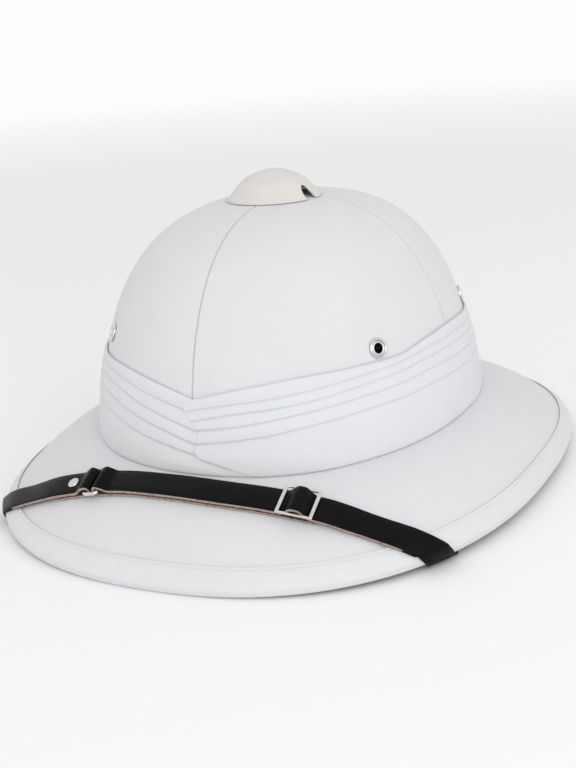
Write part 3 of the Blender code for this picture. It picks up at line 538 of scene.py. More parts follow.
def cotton(name, colour, thread=0.00055, bias=False):
    """Plain-woven cotton: threads over and under, thicker ones here and there, faint unevenness, and
    painted shade in creases and seams.
    """
    finish = Finish(name, colour, 0.88, Sheen_Weight=0.1, Sheen_Roughness=0.5, Specular_IOR_Level=0.25)
    flat = finish.laid(1, 1, 1)
    u, v = finish.part(flat, 0), finish.part(flat, 1)
    if bias:
        u, v = (u + v) * math.sqrt(0.5), (u - v) * math.sqrt(0.5)
    turn = math.pi / thread
    warp = (u * turn).sine()
    weft = (v * turn).sine()
    weave = (warp.size() * (v * turn * 0.5).sine().size()).higher(weft.size() * 0.9)
    warp_slub = finish.noise(finish.laid(1100, 60, 1), detail=3)
    weft_slub = finish.noise(finish.laid(45, 1300, 1), detail=3)
    thick = warp_slub * 0.5 + weft_slub * 0.5
    crumple = finish.noise(finish.solid(38, 38, 38), detail=3, roughness=0.55)
    nap = finish.noise(finish.solid(420, 420, 420), detail=2)
    fine = finish.bump(weave * 0.6 + nap * 0.5, 0.00005, 0.5)
    slubs = finish.bump(thick, 0.00012, 0.5, fine)
    finish.set("Normal", finish.bump(crumple, 0.0018, 0.2, slubs))
    shade = (thick * 0.7 + crumple * 0.3).between(0.35, 0.65)
    dark = tuple(part * 0.972 for part in colour)
    light = tuple(min(0.9, part * 1.01) for part in colour)
    plain = finish.mix(shade, dark, light)
    # Painted shade: the colour darkens towards 30% of itself where the painted shade share is high, in
    # creases, seams and contacts
    painted_shade_colour = tuple(part * 0.3 for part in colour)
    finish.set("Base Color", finish.mix(finish.painted_shade() * 0.75, plain, painted_shade_colour))
    finish.set("Roughness", 0.84 + thick * 0.1)
    return finish.material


def cap_leathercloth():
    colour = (0.715, 0.697, 0.675)
    finish = Finish("warm_white_leathercloth", colour, 0.55, Specular_IOR_Level=0.35)
    grain = finish.cells(finish.solid(1500, 1500, 1500), "DISTANCE_TO_EDGE")
    pores = finish.noise(finish.solid(900, 900, 900), detail=3)
    soft = finish.noise(finish.solid(70, 70, 70), detail=3)
    finish.set("Base Color", finish.mix(soft.between(0.3, 0.7), (0.69, 0.668, 0.64), colour))
    creases = grain.between(0.0, 0.18)
    fine = finish.bump(creases * 0.7 + pores * 0.5, 0.00012, 0.5)
    finish.set("Normal", finish.bump(soft, 0.001, 0.25, fine))
    finish.set("Roughness", 0.5 + pores * 0.16)
    return finish.material


def black_leather():
    finish = Finish("black_grain_leather", (0.004, 0.0036, 0.0034), 0.4, Specular_IOR_Level=0.09)
    grain = finish.cells(finish.solid(1250, 1250, 1250), "DISTANCE_TO_EDGE")
    pores = finish.noise(finish.solid(1400, 1400, 1400), detail=3)
    soft = finish.noise(finish.solid(160, 160, 160), detail=4)
    pull = finish.noise(finish.laid(90, 420, 1), detail=3)
    worn = (soft * 0.6 + pull * 0.4).between(0.5, 0.75)
    finish.set("Base Color", finish.mix(worn, (0.0035, 0.003, 0.0028), (0.007, 0.006, 0.0055)))
    creases = grain.between(0.0, 0.2)
    fine = finish.bump(creases * 0.6 + pores * 0.6, 0.00006, 0.5)
    finish.set("Normal", finish.bump(pull, 0.0005, 0.25, fine))
    finish.set("Roughness", 0.28 + pores * 0.12 + worn * 0.1)
    return finish.material


def raw_leather(name, light, dark, share_low, share_high):
    """A cut edge or the flesh side: fibres, with stains of the black dye."""
    finish = Finish(name, light, 0.85, Specular_IOR_Level=0.2)
    fibres = finish.noise(finish.laid(260, 2600, 1), detail=4, roughness=0.65)
    blotches = finish.noise(finish.solid(520, 520, 520), detail=3, roughness=0.6)
    share = (fibres * 0.55 + blotches * 0.45).between(share_low, share_high)
    finish.set("Base Color", finish.mix(share, dark, light))
    finish.set("Normal", finish.bump(fibres + blotches, 0.0003, 0.6))
    finish.set("Roughness", 0.78 + fibres * 0.15)
    return finish.material


def nickel(name="nickel_plate", colour=(0.78, 0.78, 0.785)):
    finish = Finish(name, colour, 0.2, Metallic=1.0)
    marks = finish.noise(finish.solid(300, 2600, 700), detail=4, roughness=0.6)
    cloud = finish.noise(finish.solid(210, 210, 210), detail=3)
    dull = tuple(part * 0.86 for part in colour)
    finish.set("Base Color", finish.mix(cloud.between(0.35, 0.7), dull, colour))
    finish.set("Roughness", 0.07 + marks * 0.1 + cloud * 0.06)
    finish.set("Normal", finish.bump(marks, 0.00004, 0.3))
    return finish.material


def pale_floor():
    finish = Finish("pale_floor", (0.93, 0.93, 0.93), 0.75, Specular_IOR_Level=0.1)
    soft = finish.noise(finish.solid(1.4, 1.4, 1.4), detail=2)
    finish.set("Base Color", finish.mix(soft, (0.925, 0.925, 0.925), (0.935, 0.935, 0.935)))
    place = finish.solid(1, 1, 0)
    x, y = finish.part(place, 0), finish.part(place, 1)
    far = (x * x + y * y).between(FLOOR_GLOW_FROM, FLOOR_GLOW_TO)
    finish.set("Emission Color", finish.mix(far, (0.0, 0.0, 0.0), (FLOOR_GLOW,) * 3))
    finish.set("Emission Strength", 1.0)
    return finish.material


def skin(name, grids, finishes, finish_at=None, sharp=40, caps=True):
    """One mesh from grids of (place, flat coordinates) points. Points that meet are welded.

    A third flat coordinate is how much painted shade darkens the point's colour, from 0 to 1.
    """
    shape = bmesh.new()
    laid = shape.loops.layers.uv.new("laid")
    painted_shade = shape.loops.layers.uv.new("painted_shade")
    for grid in grids:
        corners = [[shape.verts.new(place) for place, flat in row] for row in grid]
        for row in range(len(grid) - 1):
            for column in range(len(grid[0]) - 1):
                spots = ((row, column), (row, column + 1), (row + 1, column + 1), (row + 1, column))
                face = shape.faces.new([corners[r][c] for r, c in spots])
                for loop, (r, c) in zip(face.loops, spots):
                    flat = grid[r][c][1]
                    loop[laid].uv = flat[:2]
                    loop[painted_shade].uv = (flat[2] if len(flat) > 2 else 0.0, 0.0)
                if finish_at:
                    face.material_index = finish_at(row, column)
    bmesh.ops.remove_doubles(shape, verts=shape.verts, dist=2e-6)
    if caps:
        holes = [edge for edge in shape.edges if edge.is_boundary]
        bmesh.ops.holes_fill(shape, edges=holes)
    bmesh.ops.recalc_face_normals(shape, faces=shape.faces)
    mesh = bpy.data.meshes.new(name)
    shape.to_mesh(mesh)
    shape.free()
    return add_piece(name, mesh, finishes, sharp)


def add_piece(name, mesh, finishes, sharp=40):
    mesh.shade_smooth()
    mesh.set_sharp_from_angle(angle=math.radians(sharp))
    for finish in finishes:
        mesh.materials.append(finish)
    piece = bpy.data.objects.new(name, mesh)
    piece.location.y = -FORWARD
    bpy.context.scene.collection.objects.link(piece)
    return piece


def declare(piece, slot, *nodes):
    """The piece moves with the helmet and stands for these CAD nodes, which it hides. slot: not used."""
    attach(piece, "root")
    for node in nodes:
        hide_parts(node)


def seam_shape(distance):
    """How far the cloth stands out at a distance from a seam: a furrow between two low swellings."""
    furrow = -SEAM_DEPTH * bell(distance / SEAM_HALF_WIDTH)
    swelling = SEAM_RISE * bell((distance - SEAM_ALLOWANCE / 2) / SEAM_ALLOWANCE)
    return furrow + swelling * ease(distance / SEAM_HALF_WIDTH)


def seam_lines(start, end, radius_start, radius_end, lines):
    """Angles across a panel, close together along both of its seams."""
    near_start = [offset / radius_start for offset in SEAM_LINES]
    near_end = [offset / radius_end for offset in SEAM_LINES]
    low, high = start + near_start[-1], end - near_end[-1]
    middle = [low + (high - low) * i / lines for i in range(1, lines)]
    angles = [start + offset for offset in near_start] + middle
    return angles + [end - offset for offset in reversed(near_end)]


def build_crown(cloth):
    """Four panels of cloth over a stiff shell, with a hole at the top."""
    last = math.acos(((COLLAR_RADIUS + 2 * CLEARANCE) / CROWN_HALF_WIDTH) ** (CROWN_SIDE_POWER / 2))

    def heights(count):
        turns = [math.sin(last * i / count) ** (2 / CROWN_TOP_POWER) for i in range(count + 1)]
        return [CROWN_HEIGHT * share for share in turns]

    def height_at(angle, level):
        """A level below 0 is a share of the way down to the shell's lower edge."""
        low = brim_top(angle, crown_foot_radius(angle)) - BRIM_WALL
        return CROWN_START + (level if level >= 0 else (low - CROWN_START) * -level)

    outer = [(level, True) for level in [-1, -0.5, *heights(CROWN_OUTER_LEVELS)]]
    inner = [(level, False) for level in [*reversed(heights(CROWN_INNER_LEVELS)), -0.5, -1]]
    grids = []
    for panel in range(4):
        start, end = panel * math.pi / 2, (panel + 1) * math.pi / 2
        middle = (start + end) / 2
        rows = []
        travelled = 0.0
        previous = None
        for level, outside in [*outer, *inner, outer[0]]:
            radii = [crown_radius(side, height_at(side, level)) for side in (start, end)]
            row = []
            for angle in seam_lines(start, end, *radii, PANEL_LINES):
                z = height_at(angle, level)
                normal = crown_normal(angle, z)
                place = around(angle, crown_radius(angle, z), z)
                if outside:
                    away = min((angle - start) * radii[0], (end - angle) * radii[1])
                    place += normal * (seam_shape(away) * ease((z - CROWN_START + 0.01) / 0.005))
                    # Painted shade darkens the cloth along the seam's furrow
                    painted_shade = 0.6 * bell(away / SEAM_HALF_WIDTH)
                else:
                    place -= normal * CROWN_WALL
                    painted_shade = 0.0
                row.append((place, angle, painted_shade))
            centre = row[len(row) // 2][0]
            travelled += (centre - previous).length if previous else 0.0
            previous = centre
            rows.append(
                [
                    (place, ((angle - middle) * place.xy.length, travelled, painted_shade))
                    for place, angle, painted_shade in row
                ]
            )
        grids.append(rows)
    return skin("crown_cloth", grids, [cloth], sharp=60, caps=False)


def ring_angles(count):
    return [2 * math.pi * i / count for i in range(count + 1)]


def ring_skin(name, section, angles, finishes, finish_at=None, sharp=40):
    """A closed band round the crown. The section gives ((radius, height), across) points."""
    rows = []
    along = 0.0
    for before, angle in zip([angles[0], *angles], angles):
        points = section(angle)
        radius = points[0][0][0]
        along += (angle - before) * radius
        row = [(around(angle, *point), (along, *across)) for point, across in points]
        rows.append(row + row[:1])
    return skin(name, [rows], finishes, finish_at, sharp, caps=False)


def build_brim(cloth):
    """Stiff oval brim, covered in two halves that meet in a seam on each side."""

    def section(angle):
        inner = crown_foot_radius(angle) + CLEARANCE
        outer = brim_radius(angle) - BINDING_WALL - CLEARANCE
        radii = [inner + (outer - inner) * i / BRIM_RINGS for i in range(BRIM_RINGS + 1)]
        from_seam = abs(abs(math.sin(angle)) - 1)
        away = math.sqrt(2 * from_seam) * 0.11
        upper = [(r, brim_top(angle, r) + seam_shape(away)) for r in radii]
        lower = [(r, brim_top(angle, r) - BRIM_WALL) for r in reversed(radii[::2])]
        return [(point, point[0]) for point in upper + lower]

    angles = []
    for quarter in range(4):
        start, end = quarter * math.pi / 2, (quarter + 1) * math.pi / 2
        angles += seam_lines(start, end, 0.11, 0.11, 60)[: None if quarter == 3 else -1]
    rows = []
    for angle in angles:
        row = [(around(angle, *point), None) for point, across in section(angle)]
        rows.append([(place, (place.x, place.y)) for place, flat in row + row[:1]])
    return skin("brim_cloth", [rows], [cloth], sharp=50, caps=False)


def binding_top(angle, radius):
    return brim_top(angle, radius) + CLEARANCE + BINDING_WALL


def binding_bottom(angle, radius):
    return brim_top(angle, radius) - BRIM_WALL - CLEARANCE - BINDING_WALL


def bend_through(start, corner, end, steps):
    """Points on a rounded corner, without its two ends."""
    points = []
    for step in range(1, steps):
        share = step / steps
        weights = (1 - share) ** 2, 2 * share * (1 - share), share**2
        points.append(
            tuple(sum(w * p[axis] for w, p in zip(weights, (start, corner, end))) for axis in (0, 1))
        )
    return points


def hem_radius(angle):
    return brim_radius(angle) - blend(angle, BINDING_WIDTH, BINDING_SIDE_WIDTH)


def join_step(angle, from_hem):
    """Where the binding's two ends overlap, its cloth steps up along a slanted line and sinks again."""
    beyond = signed(angle - JOIN_ANGLE) - JOIN_SLANT * from_hem
    return JOIN_RISE * ease(beyond / JOIN_SHARPNESS) * (1 - ease((beyond - 0.04) / 0.1))


def build_binding(cloth):
    """Cloth folded round the edge. Its hem is sewn down on top of the brim."""

    def section(angle):
        edge = brim_radius(angle)
        inside = edge - BINDING_WALL - CLEARANCE
        start = hem_radius(angle)
        bead = edge - BINDING_BEAD
        ground = binding_bottom(angle, edge)
        pucker = PUCKER_FINE * noise.noise(around(angle, 41, 3.1))
        pucker += PUCKER_BROAD * noise.noise(around(angle, 9.5, 1.7))
        points = [
            (start, brim_top(angle, start) + CLEARANCE * 0.3),
            (start + 0.00002, binding_top(angle, start) - BINDING_HEM - 0.00025),
            (start + 0.0002, binding_top(angle, start + 0.0002) - BINDING_HEM),
        ]
        for from_hem in HEM_LINES:
            furrow = STITCH_FURROW * bell((from_hem - STITCH_FROM_HEM) / STITCH_FURROW_HALF_WIDTH)
            swell = HEM_SWELLING * bell((from_hem - HEM_SWELLING_PLACE) / HEM_SWELLING_HALF_WIDTH)
            swell += pucker * ease(from_hem / 0.002)
            swell += join_step(angle, from_hem)
            thin = BINDING_HEM * (1 - ease(from_hem / HEM_SWELLING_PLACE))
            radius = start + from_hem * (edge - start) / BINDING_WIDTH
            points.append((radius, binding_top(angle, radius) - thin - furrow + swell))
        corner = (edge, binding_top(angle, edge))
        step = join_step(angle, RIM_FROM_HEM)
        face_top = (edge + step, corner[1] - RIM_TOP_ROUND)
        points += bend_through(points[-1], corner, face_top, 9)
        points.append(face_top)
        points.append((edge - 0.0001 + pucker + step, (face_top[1] + ground + RIM_TOP_ROUND) / 2))
        face_low = (edge - 0.0005 + step, ground + RIM_LOW_ROUND)
        points.append(face_low)
        under = (edge - BINDING_TUCK - 0.0008, ground)
        points += bend_through(face_low, (edge - 0.0009, ground), under, 7)
        points += [under, (bead + 0.0004, ground), (bead, ground + 0.0004)]
        points += [(r, binding_bottom(angle, r)) for r in (bead - 0.0004, (bead + start) / 2, start)]
        points += [
            (start, brim_top(angle, start) - BRIM_WALL - CLEARANCE * 0.3),
            (inside, brim_top(angle, inside) - BRIM_WALL - CLEARANCE * 0.3),
            (inside, brim_top(angle, inside) + CLEARANCE * 0.3),
        ]
        travelled = 0.0
        flat = []
        for index, (before, point) in enumerate(zip([points[0], *points], points)):
            travelled += math.dist(before, point)
            # The first two points, where the hem turns under, carry painted shade (1.0 and 0.8)
            flat.append((point, (travelled, (1.0, 0.8, 0.0)[min(index, 2)])))
        return flat

    angles = [angle - math.pi for angle in ring_angles(BINDING_COLUMNS)]
    near = [JOIN_ANGLE + math.radians(i * 0.1 - 3) for i in range(60)]
    return ring_skin("edge_binding_cloth", section, sorted(angles + near), [cloth], sharp=60)


def stitch_row(name, ways, radius, thread, sides=6, steps=6):
    """Short raised stitches. Each way is (start, end, normal), and both ends dip into the cloth."""
    grids = []
    for start, end, normal in ways:
        travel = (end - start).normalized()
        across = normal.cross(travel).normalized()
        rows = []
        for step in range(steps + 1):
            share = step / steps
            arch = math.sin(math.pi * share)
            middle = start.lerp(end, share) + normal * (radius * (1.5 * arch - 0.6))
            wide = radius * (0.45 + 0.55 * arch)
            row = []
            for side in range(sides + 1):
                turn = 2 * math.pi * (side % sides) / sides
                out = across * math.cos(turn) + normal * math.sin(turn)
                row.append((middle + out * wide, (share * (end - start).length, side * radius)))
            rows.append(row)
        grids.append(rows)
    return skin(name, grids, [thread], sharp=80)


def build_binding_stitches(thread):
    ways = []
    length = 0.0
    before = None
    spots = []
    for angle in ring_angles(4000):
        radius = hem_radius(angle) + STITCH_FROM_HEM
        place = around(angle, radius, binding_top(angle, radius) - BINDING_HEM * 0.8 - 0.0002)
        length += (place - before).length if before else 0.0
        before = place
        spots.append((length, place, angle, radius))
    count = round(length / STITCH_PITCH)
    index = 0
    for stitch in range(count):
        ends = []
        for at in (stitch * length / count, stitch * length / count + STITCH_LENGTH):
            while spots[index][0] < at and index < len(spots) - 1:
                index += 1
            ends.append(spots[index])
        angle, radius = ends[0][2], ends[0][3]
        rise = binding_top(angle, radius + 0.0005) - binding_top(angle, radius - 0.0005)
        outwards = around(angle, 1, 0)
        normal = (Vector((0, 0, 1)) * 0.001 - outwards * rise).normalized()
        ways.append((ends[0][1], ends[1][1], normal))
    return stitch_row("edge_binding_stitches", ways, STITCH_RADIUS, thread, sides=5, steps=4)


def fold_height(name, degrees):
    return PUGAREE_HEIGHT * curve_through(FOLD_ROWS, name, degrees)


def end_angle(height):
    return curve_through(END_ROWS, "angle", height * 1000, by="height")


def pugaree_profile(degrees):
    """(height above the crown's start, thickness, painted shade) from the top edge down to the foot."""
    angle = math.radians(degrees)
    heights = [fold_height(name, degrees) for name in FOLD_NAMES]
    foot = brim_top(angle, foot_radius(angle)) + 0.0001 - CROWN_START
    for index in range(1, len(heights)):
        heights[index] = max(heights[index], foot + 0.0004 * (len(heights) - index))
    top = heights[0]
    full = PUGAREE_TOP_THICKNESS
    # The third value of each point is painted shade: some under the top edge, where it meets the crown
    points = [
        (top - 0.0006, 0.0001, 0.3),
        (top - 0.0001, 0.0004, 0.1),
        (top + 0.0001, 0.0008, 0),
        (top - 0.0001, full - 0.0003, 0),
        (top - 0.0008, full, 0),
    ]
    start = points[-1]
    for number, low in enumerate(heights[1:], start=1):
        edge = full + PLEAT_THICKENING * number
        span = start[0] - (low + PLEAT_EDGE_ROWS[0]["up"])
        for share in (0.25, 0.5, 0.75):
            swell = PLEAT_SWELLING * math.sin(math.pi * share)
            points.append((start[0] - span * share, start[1] + (edge - start[1]) * share + swell, 0))
        points += [(low + row["up"], edge - row["inside"], row["painted_shade"]) for row in PLEAT_EDGE_ROWS]
        start = points[-1]
    span = start[0] - (foot + 0.0016)
    for share in (0.12, 0.25, 0.4, 0.55, 0.7, 0.85):
        swell = FOOT_SWELLING * math.sin(math.pi * share)
        points.append(
            (start[0] - span * share, start[1] + (PUGAREE_FOOT_THICKNESS - start[1]) * share + swell, 0)
        )
    # Painted shade at the foot, where the cloth meets the brim
    points += [
        (foot + 0.0016, PUGAREE_FOOT_THICKNESS + 0.0001, 0),
        (foot + 0.0006, PUGAREE_FOOT_THICKNESS - 0.0001, 0.1),
        (foot + 0.0001, PUGAREE_FOOT_THICKNESS - 0.0007, 0.4),
        (foot, PUGAREE_FOOT_THICKNESS - 0.0014, 0.8),
    ]
    return points


def over_end_lift(degrees, height):
    """The end on top stands off the end under it, most of all low down."""
    lifted = OVER_END_LIFT + OVER_END_LIFT_LOW * (1 - ease((height - 0.004) / 0.01))
    return lifted * (1 - ease((degrees - OVER_END_SINKS_FROM) / OVER_END_SINKS_OVER))


def wrinkle_at(degrees, height, thickness):
    """Faint wrinkles, deeper in front, where the ends cross."""
    along = degrees * METRES_A_DEGREE
    wrinkle = noise.noise(Vector((along * 30, height * 130, 2.3)))
    wrinkle += 0.6 * noise.noise(Vector((along * 70, height * 60, 7.9)))
    near_front = bell((degrees - 4) / WRINKLE_FRONT_DEGREES)
    near_front += bell((degrees - 352) / WRINKLE_FRONT_DEGREES)
    wrinkle *= (WRINKLE + WRINKLE_AT_FRONT * near_front) * ease(thickness / 0.002)
    return wrinkle


def pugaree_tracks(count):
    """For each track across the cloth, the angle in degrees of each of the profile's points."""
    starts, ends = [], []
    for index in range(count):
        first, last = 0.0, 360.0
        for _ in range(END_SEARCH_STEPS):
            first += END_SEARCH_SHARE * (end_angle(pugaree_profile(first)[index][0]) - first)
            height = pugaree_profile(last)[index][0]
            last += END_SEARCH_SHARE * (360 + end_angle(height) + LAP_DEGREES - last)
        starts.append(first)
        ends.append(last)
    shares = [i / OVER_END_TRACKS for i in range(OVER_END_TRACKS)]
    tracks = [[first + (UPRIGHT_FROM - first) * share for first in starts] for share in shares]
    steps = round((UPRIGHT_TO - UPRIGHT_FROM) / UPRIGHT_TRACK_DEGREES)
    for i in range(steps):
        tracks.append([UPRIGHT_FROM + (UPRIGHT_TO - UPRIGHT_FROM) * i / steps] * count)
    for i in range(UNDER_END_TRACKS + 1):
        tracks.append([UPRIGHT_TO + (last - UPRIGHT_TO) * i / UNDER_END_TRACKS for last in ends])
    return tracks


def build_pugaree(cloth):
    """Pleated cloth wound once round the crown. Its ends cross low in front, one over the other."""
    rows = []
    for track in pugaree_tracks(len(pugaree_profile(0))):
        outer, inner = [], []
        travelled = 0.0
        before = None
        for index, degrees in enumerate(track):
            angle = math.radians(degrees)
            height, thickness, painted_shade = pugaree_profile(degrees)[index]
            z = CROWN_START + height
            lifted = over_end_lift(degrees, height)
            beyond = degrees - 360 - end_angle(height)
            if degrees > 300 and beyond > 0:
                thickness *= 1 - UNDER_END_THINNING * ease(beyond / UNDER_END_THIN_DEGREES)
            along = degrees * METRES_A_DEGREE
            base = crown_radius(angle, z) + CLEARANCE
            radius = base + thickness + lifted + wrinkle_at(degrees, height, thickness)
            place = around(angle, radius, z)
            travelled += (place - before).length if before else 0.0
            before = place
            outer.append((place, (along, travelled, painted_shade)))
            floor = 0.0
            if degrees < 60:
                floor = (lifted + thickness * 0.3) * (1 - ease((degrees - 20) / 20))
            inner.append((around(angle, base + min(floor, thickness * 0.6), z), (along, travelled)))
        loop = outer + list(reversed(inner))
        rows.append(loop + loop[:1])
    caps = []
    for row in (rows[0], rows[-1]):
        half = (len(row) - 1) // 2
        caps.append([[row[i], row[2 * half - 1 - i]] for i in range(half)])
    return skin("pugaree_cloth", [rows, *caps], [cloth], sharp=70, caps=False)


def turned(name, profile, finish, steps=TURNED_STEPS, matrix=Matrix(), sharp=35):
    """A closed profile of (radius, height) points turned round the matrix's Z axis."""
    rows = []
    for step in range(steps + 1):
        turn = 2 * math.pi * (step % steps) / steps
        row = []
        travelled = 0.0
        for before, (radius, z) in zip([profile[0], *profile], [*profile, profile[0]]):
            travelled += math.dist(before, (radius, z))
            spot = Vector((radius * math.cos(turn), radius * math.sin(turn), z))
            row.append((matrix @ spot, (step / steps * 2 * math.pi * profile[0][0], travelled)))
        rows.append(row)
    return skin(name, [rows], [finish], sharp=sharp, caps=False)


def facing(place, outwards, along=Vector((0, 0, 1))):
    """A matrix whose Z axis points outwards and whose X axis is near the direction along."""
    across = outwards.cross(along).normalized()
    forward = across.cross(outwards).normalized()
    axes = Matrix((forward, across, outwards)).transposed().to_4x4()
    axes.translation = place
    return axes


def cut(piece, cutters):
    """Takes the cutters out of the piece, and the cutters out of the scene."""
    for cutter in cutters:
        boolean = piece.modifiers.new("cut", "BOOLEAN")
        boolean.operation = "DIFFERENCE"
        boolean.solver = "EXACT"
        boolean.object = cutter
    settle(piece)
    for cutter in cutters:
        bpy.data.objects.remove(cutter)


def settle(piece):
    """Makes what the piece's modifiers do part of its mesh."""
    graph = bpy.context.evaluated_depsgraph_get()
    mesh = bpy.data.meshes.new_from_object(piece.evaluated_get(graph))
    piece.modifiers.clear()
    piece.data = mesh


def drill(radius, depth, matrix, steps=32):
    profile = [(0, depth / 2), (radius, depth / 2), (radius, -depth / 2), (0, -depth / 2)]
    return turned("drill", profile, None, steps, matrix)


def apex():
    return CROWN_START + CROWN_HEIGHT


def cap_seat():
    """Height of the cap's lower rim, just clear of the crown's cloth behind it."""
    share = (CAP_RADIUS - CAP_FORWARD) / CROWN_HALF_LENGTH
    return CROWN_START + CROWN_HEIGHT * (1 - share**CROWN_SIDE_POWER) ** (1 / CROWN_TOP_POWER)


def crown_height(x, y):
    """Height of the crown's outer face over a place near its apex."""
    power = CROWN_PLAN_POWER
    size = ((abs(x) / CROWN_HALF_WIDTH) ** power + (abs(y) / CROWN_HALF_LENGTH) ** power) ** (1 / power)
    return CROWN_START + CROWN_HEIGHT * (1 - size**CROWN_SIDE_POWER) ** (1 / CROWN_TOP_POWER)


def build_cap(leather):
    """A bell that thins out to a lip, which follows the crown. It has an arched notch on each side."""
    rim = cap_seat() + CLEARANCE
    rows = [{"out": -CAP_ROWS[-2]["out"], "up": CAP_ROWS[-2]["up"]}, *reversed(CAP_ROWS)]
    tall = apex() + CAP_HEIGHT - rim
    outer = [(CAP_RADIUS - CAP_LIP_ROUND, rim), (CAP_RADIUS, rim + CAP_LIP_ROUND)]
    for ring in range(CAP_RINGS + 1):
        out = 1 - ring / CAP_RINGS
        up = curve_through(rows, "up", out, by="out")
        outer.append((CAP_RADIUS * out, rim + CAP_LIP + (tall - CAP_LIP) * up))
    inner = [(radius, z - CAP_THICKNESS) for radius, z in reversed(outer) if z - CAP_THICKNESS > rim]
    axes = Matrix.Translation((CAP_ASIDE, -CAP_FORWARD, 0))
    body = turned("vent_cap_leathercloth", outer + inner, leather, 128, axes, sharp=60)
    for vertex in body.data.vertices:
        gap = max(0.0, rim - crown_height(vertex.co.x, vertex.co.y) - CLEARANCE)
        vertex.co.z -= gap * (1 - ease((vertex.co.z - rim) / (CAP_LIP_FADE * tall)))
    cutters = []
    for side in (1, -1):
        place = axes @ around(side * CAP_NOTCH_ANGLE, CAP_RADIUS, rim - CLEARANCE)
        notch = facing(place, around(side * CAP_NOTCH_ANGLE, 1, 0))
        notch = notch @ Matrix.Diagonal((CAP_NOTCH_HEIGHT / CAP_NOTCH_RADIUS, 1, 1, 1))
        cutters.append(drill(CAP_NOTCH_RADIUS, CAP_RADIUS, notch, 48))
    cut(body, cutters)
    return body


def build_collar(metal):
    top = apex() + CAP_HEIGHT - CAP_THICKNESS - COLLAR_BELOW_CAP
    sag = COLLAR_FLANGE_RADIUS / (CROWN_HALF_WIDTH - CROWN_WALL)
    fall = CROWN_HEIGHT * (1 - (1 - sag**CROWN_SIDE_POWER) ** (1 / CROWN_TOP_POWER))
    flange = apex() - CROWN_WALL - fall - CLEARANCE
    low = flange - COLLAR_FLANGE
    profile = [
        (COLLAR_RADIUS, top),
        (COLLAR_RADIUS, flange),
        (COLLAR_FLANGE_RADIUS - COLLAR_TOP_ROUND, flange),
        (COLLAR_FLANGE_RADIUS, flange - COLLAR_TOP_ROUND),
        (COLLAR_FLANGE_RADIUS, low + COLLAR_LOW_ROUND),
        (COLLAR_FLANGE_RADIUS - COLLAR_LOW_ROUND, low),
        (COLLAR_BORE_RADIUS + COLLAR_BORE_ROUND, low),
        (COLLAR_BORE_RADIUS, low + COLLAR_BORE_ROUND),
        (COLLAR_BORE_RADIUS, top),
    ]
    return turned("vent_collar_metal", profile, metal)


def build_eyelets(metal, crown):
    """Rolled nickel rings in the crown's four small holes."""
    places = (
        ("eyelet_front_left", EYELET_FRONT_LEFT_ANGLE, EYELET_HEIGHT),
        ("eyelet_front_right", EYELET_FRONT_RIGHT_ANGLE, EYELET_FRONT_RIGHT_HEIGHT),
        ("eyelet_back_left", EYELET_BACK_ANGLE, EYELET_HEIGHT),
        ("eyelet_back_right", -EYELET_BACK_ANGLE, EYELET_HEIGHT),
    )
    groove = 0.55 * EYELET_RADIUS + 0.45 * EYELET_BORE_RADIUS
    roll = []
    for outside, inside, tall in (
        (EYELET_RADIUS, groove, EYELET_FLANGE),
        (groove, EYELET_BORE_RADIUS, EYELET_FLANGE * 0.85),
    ):
        middle, half = (outside + inside) / 2, (outside - inside) / 2
        for step in range(9):
            turn = math.pi * step / 8
            roll.append((middle + half * math.cos(turn), 0.0001 + tall * math.sin(turn) ** 0.8))
    back = -CROWN_WALL - EYELET_FLANGE
    profile = roll + [
        (EYELET_BORE_RADIUS, back),
        (EYELET_BARREL_RADIUS, back),
        (EYELET_BARREL_RADIUS, -0.0001),
        (EYELET_RADIUS - 0.0002, -0.0001),
    ]
    cutters = []
    for name, angle, height in places:
        z = CROWN_START + height
        normal = crown_normal(angle, z)
        surface = around(angle, crown_radius(angle, z), z)
        axes = facing(surface + normal * CLEARANCE / 2, normal)
        eyelet = turned(name + "_nickel", profile, metal, 48, axes, sharp=50)
        declare(eyelet, "eyelet_metal", name)
        cutters.append(drill(EYELET_BARREL_RADIUS + CLEARANCE, 4 * CROWN_WALL, axes))
    cut(crown, cutters)


def inside_wall(z):
    """How far from the centre plane the middle of a strap lies, flat on the crown's inner wall."""
    return crown_radius(math.pi / 2, z) - CROWN_WALL - STUD_STANDOFF - STRAP_THICKNESS / 2


def hermite(start, leave, end, arrive, share):
    """Place and direction of travel on a curve between two places with their directions."""
    pull = 0.8 * (end - start).length
    place = (
        start * (2 * share**3 - 3 * share**2 + 1)
        + leave * (pull * (share**3 - 2 * share**2 + share))
        + end * (3 * share**2 - 2 * share**3)
        + arrive * (pull * (share**3 - share**2))
    )
    travel = (
        start * (6 * share**2 - 6 * share)
        + leave * (pull * (3 * share**2 - 4 * share + 1))
        + end * (6 * share - 6 * share**2)
        + arrive * (pull * (3 * share**2 - 2 * share))
    )
    return place, travel


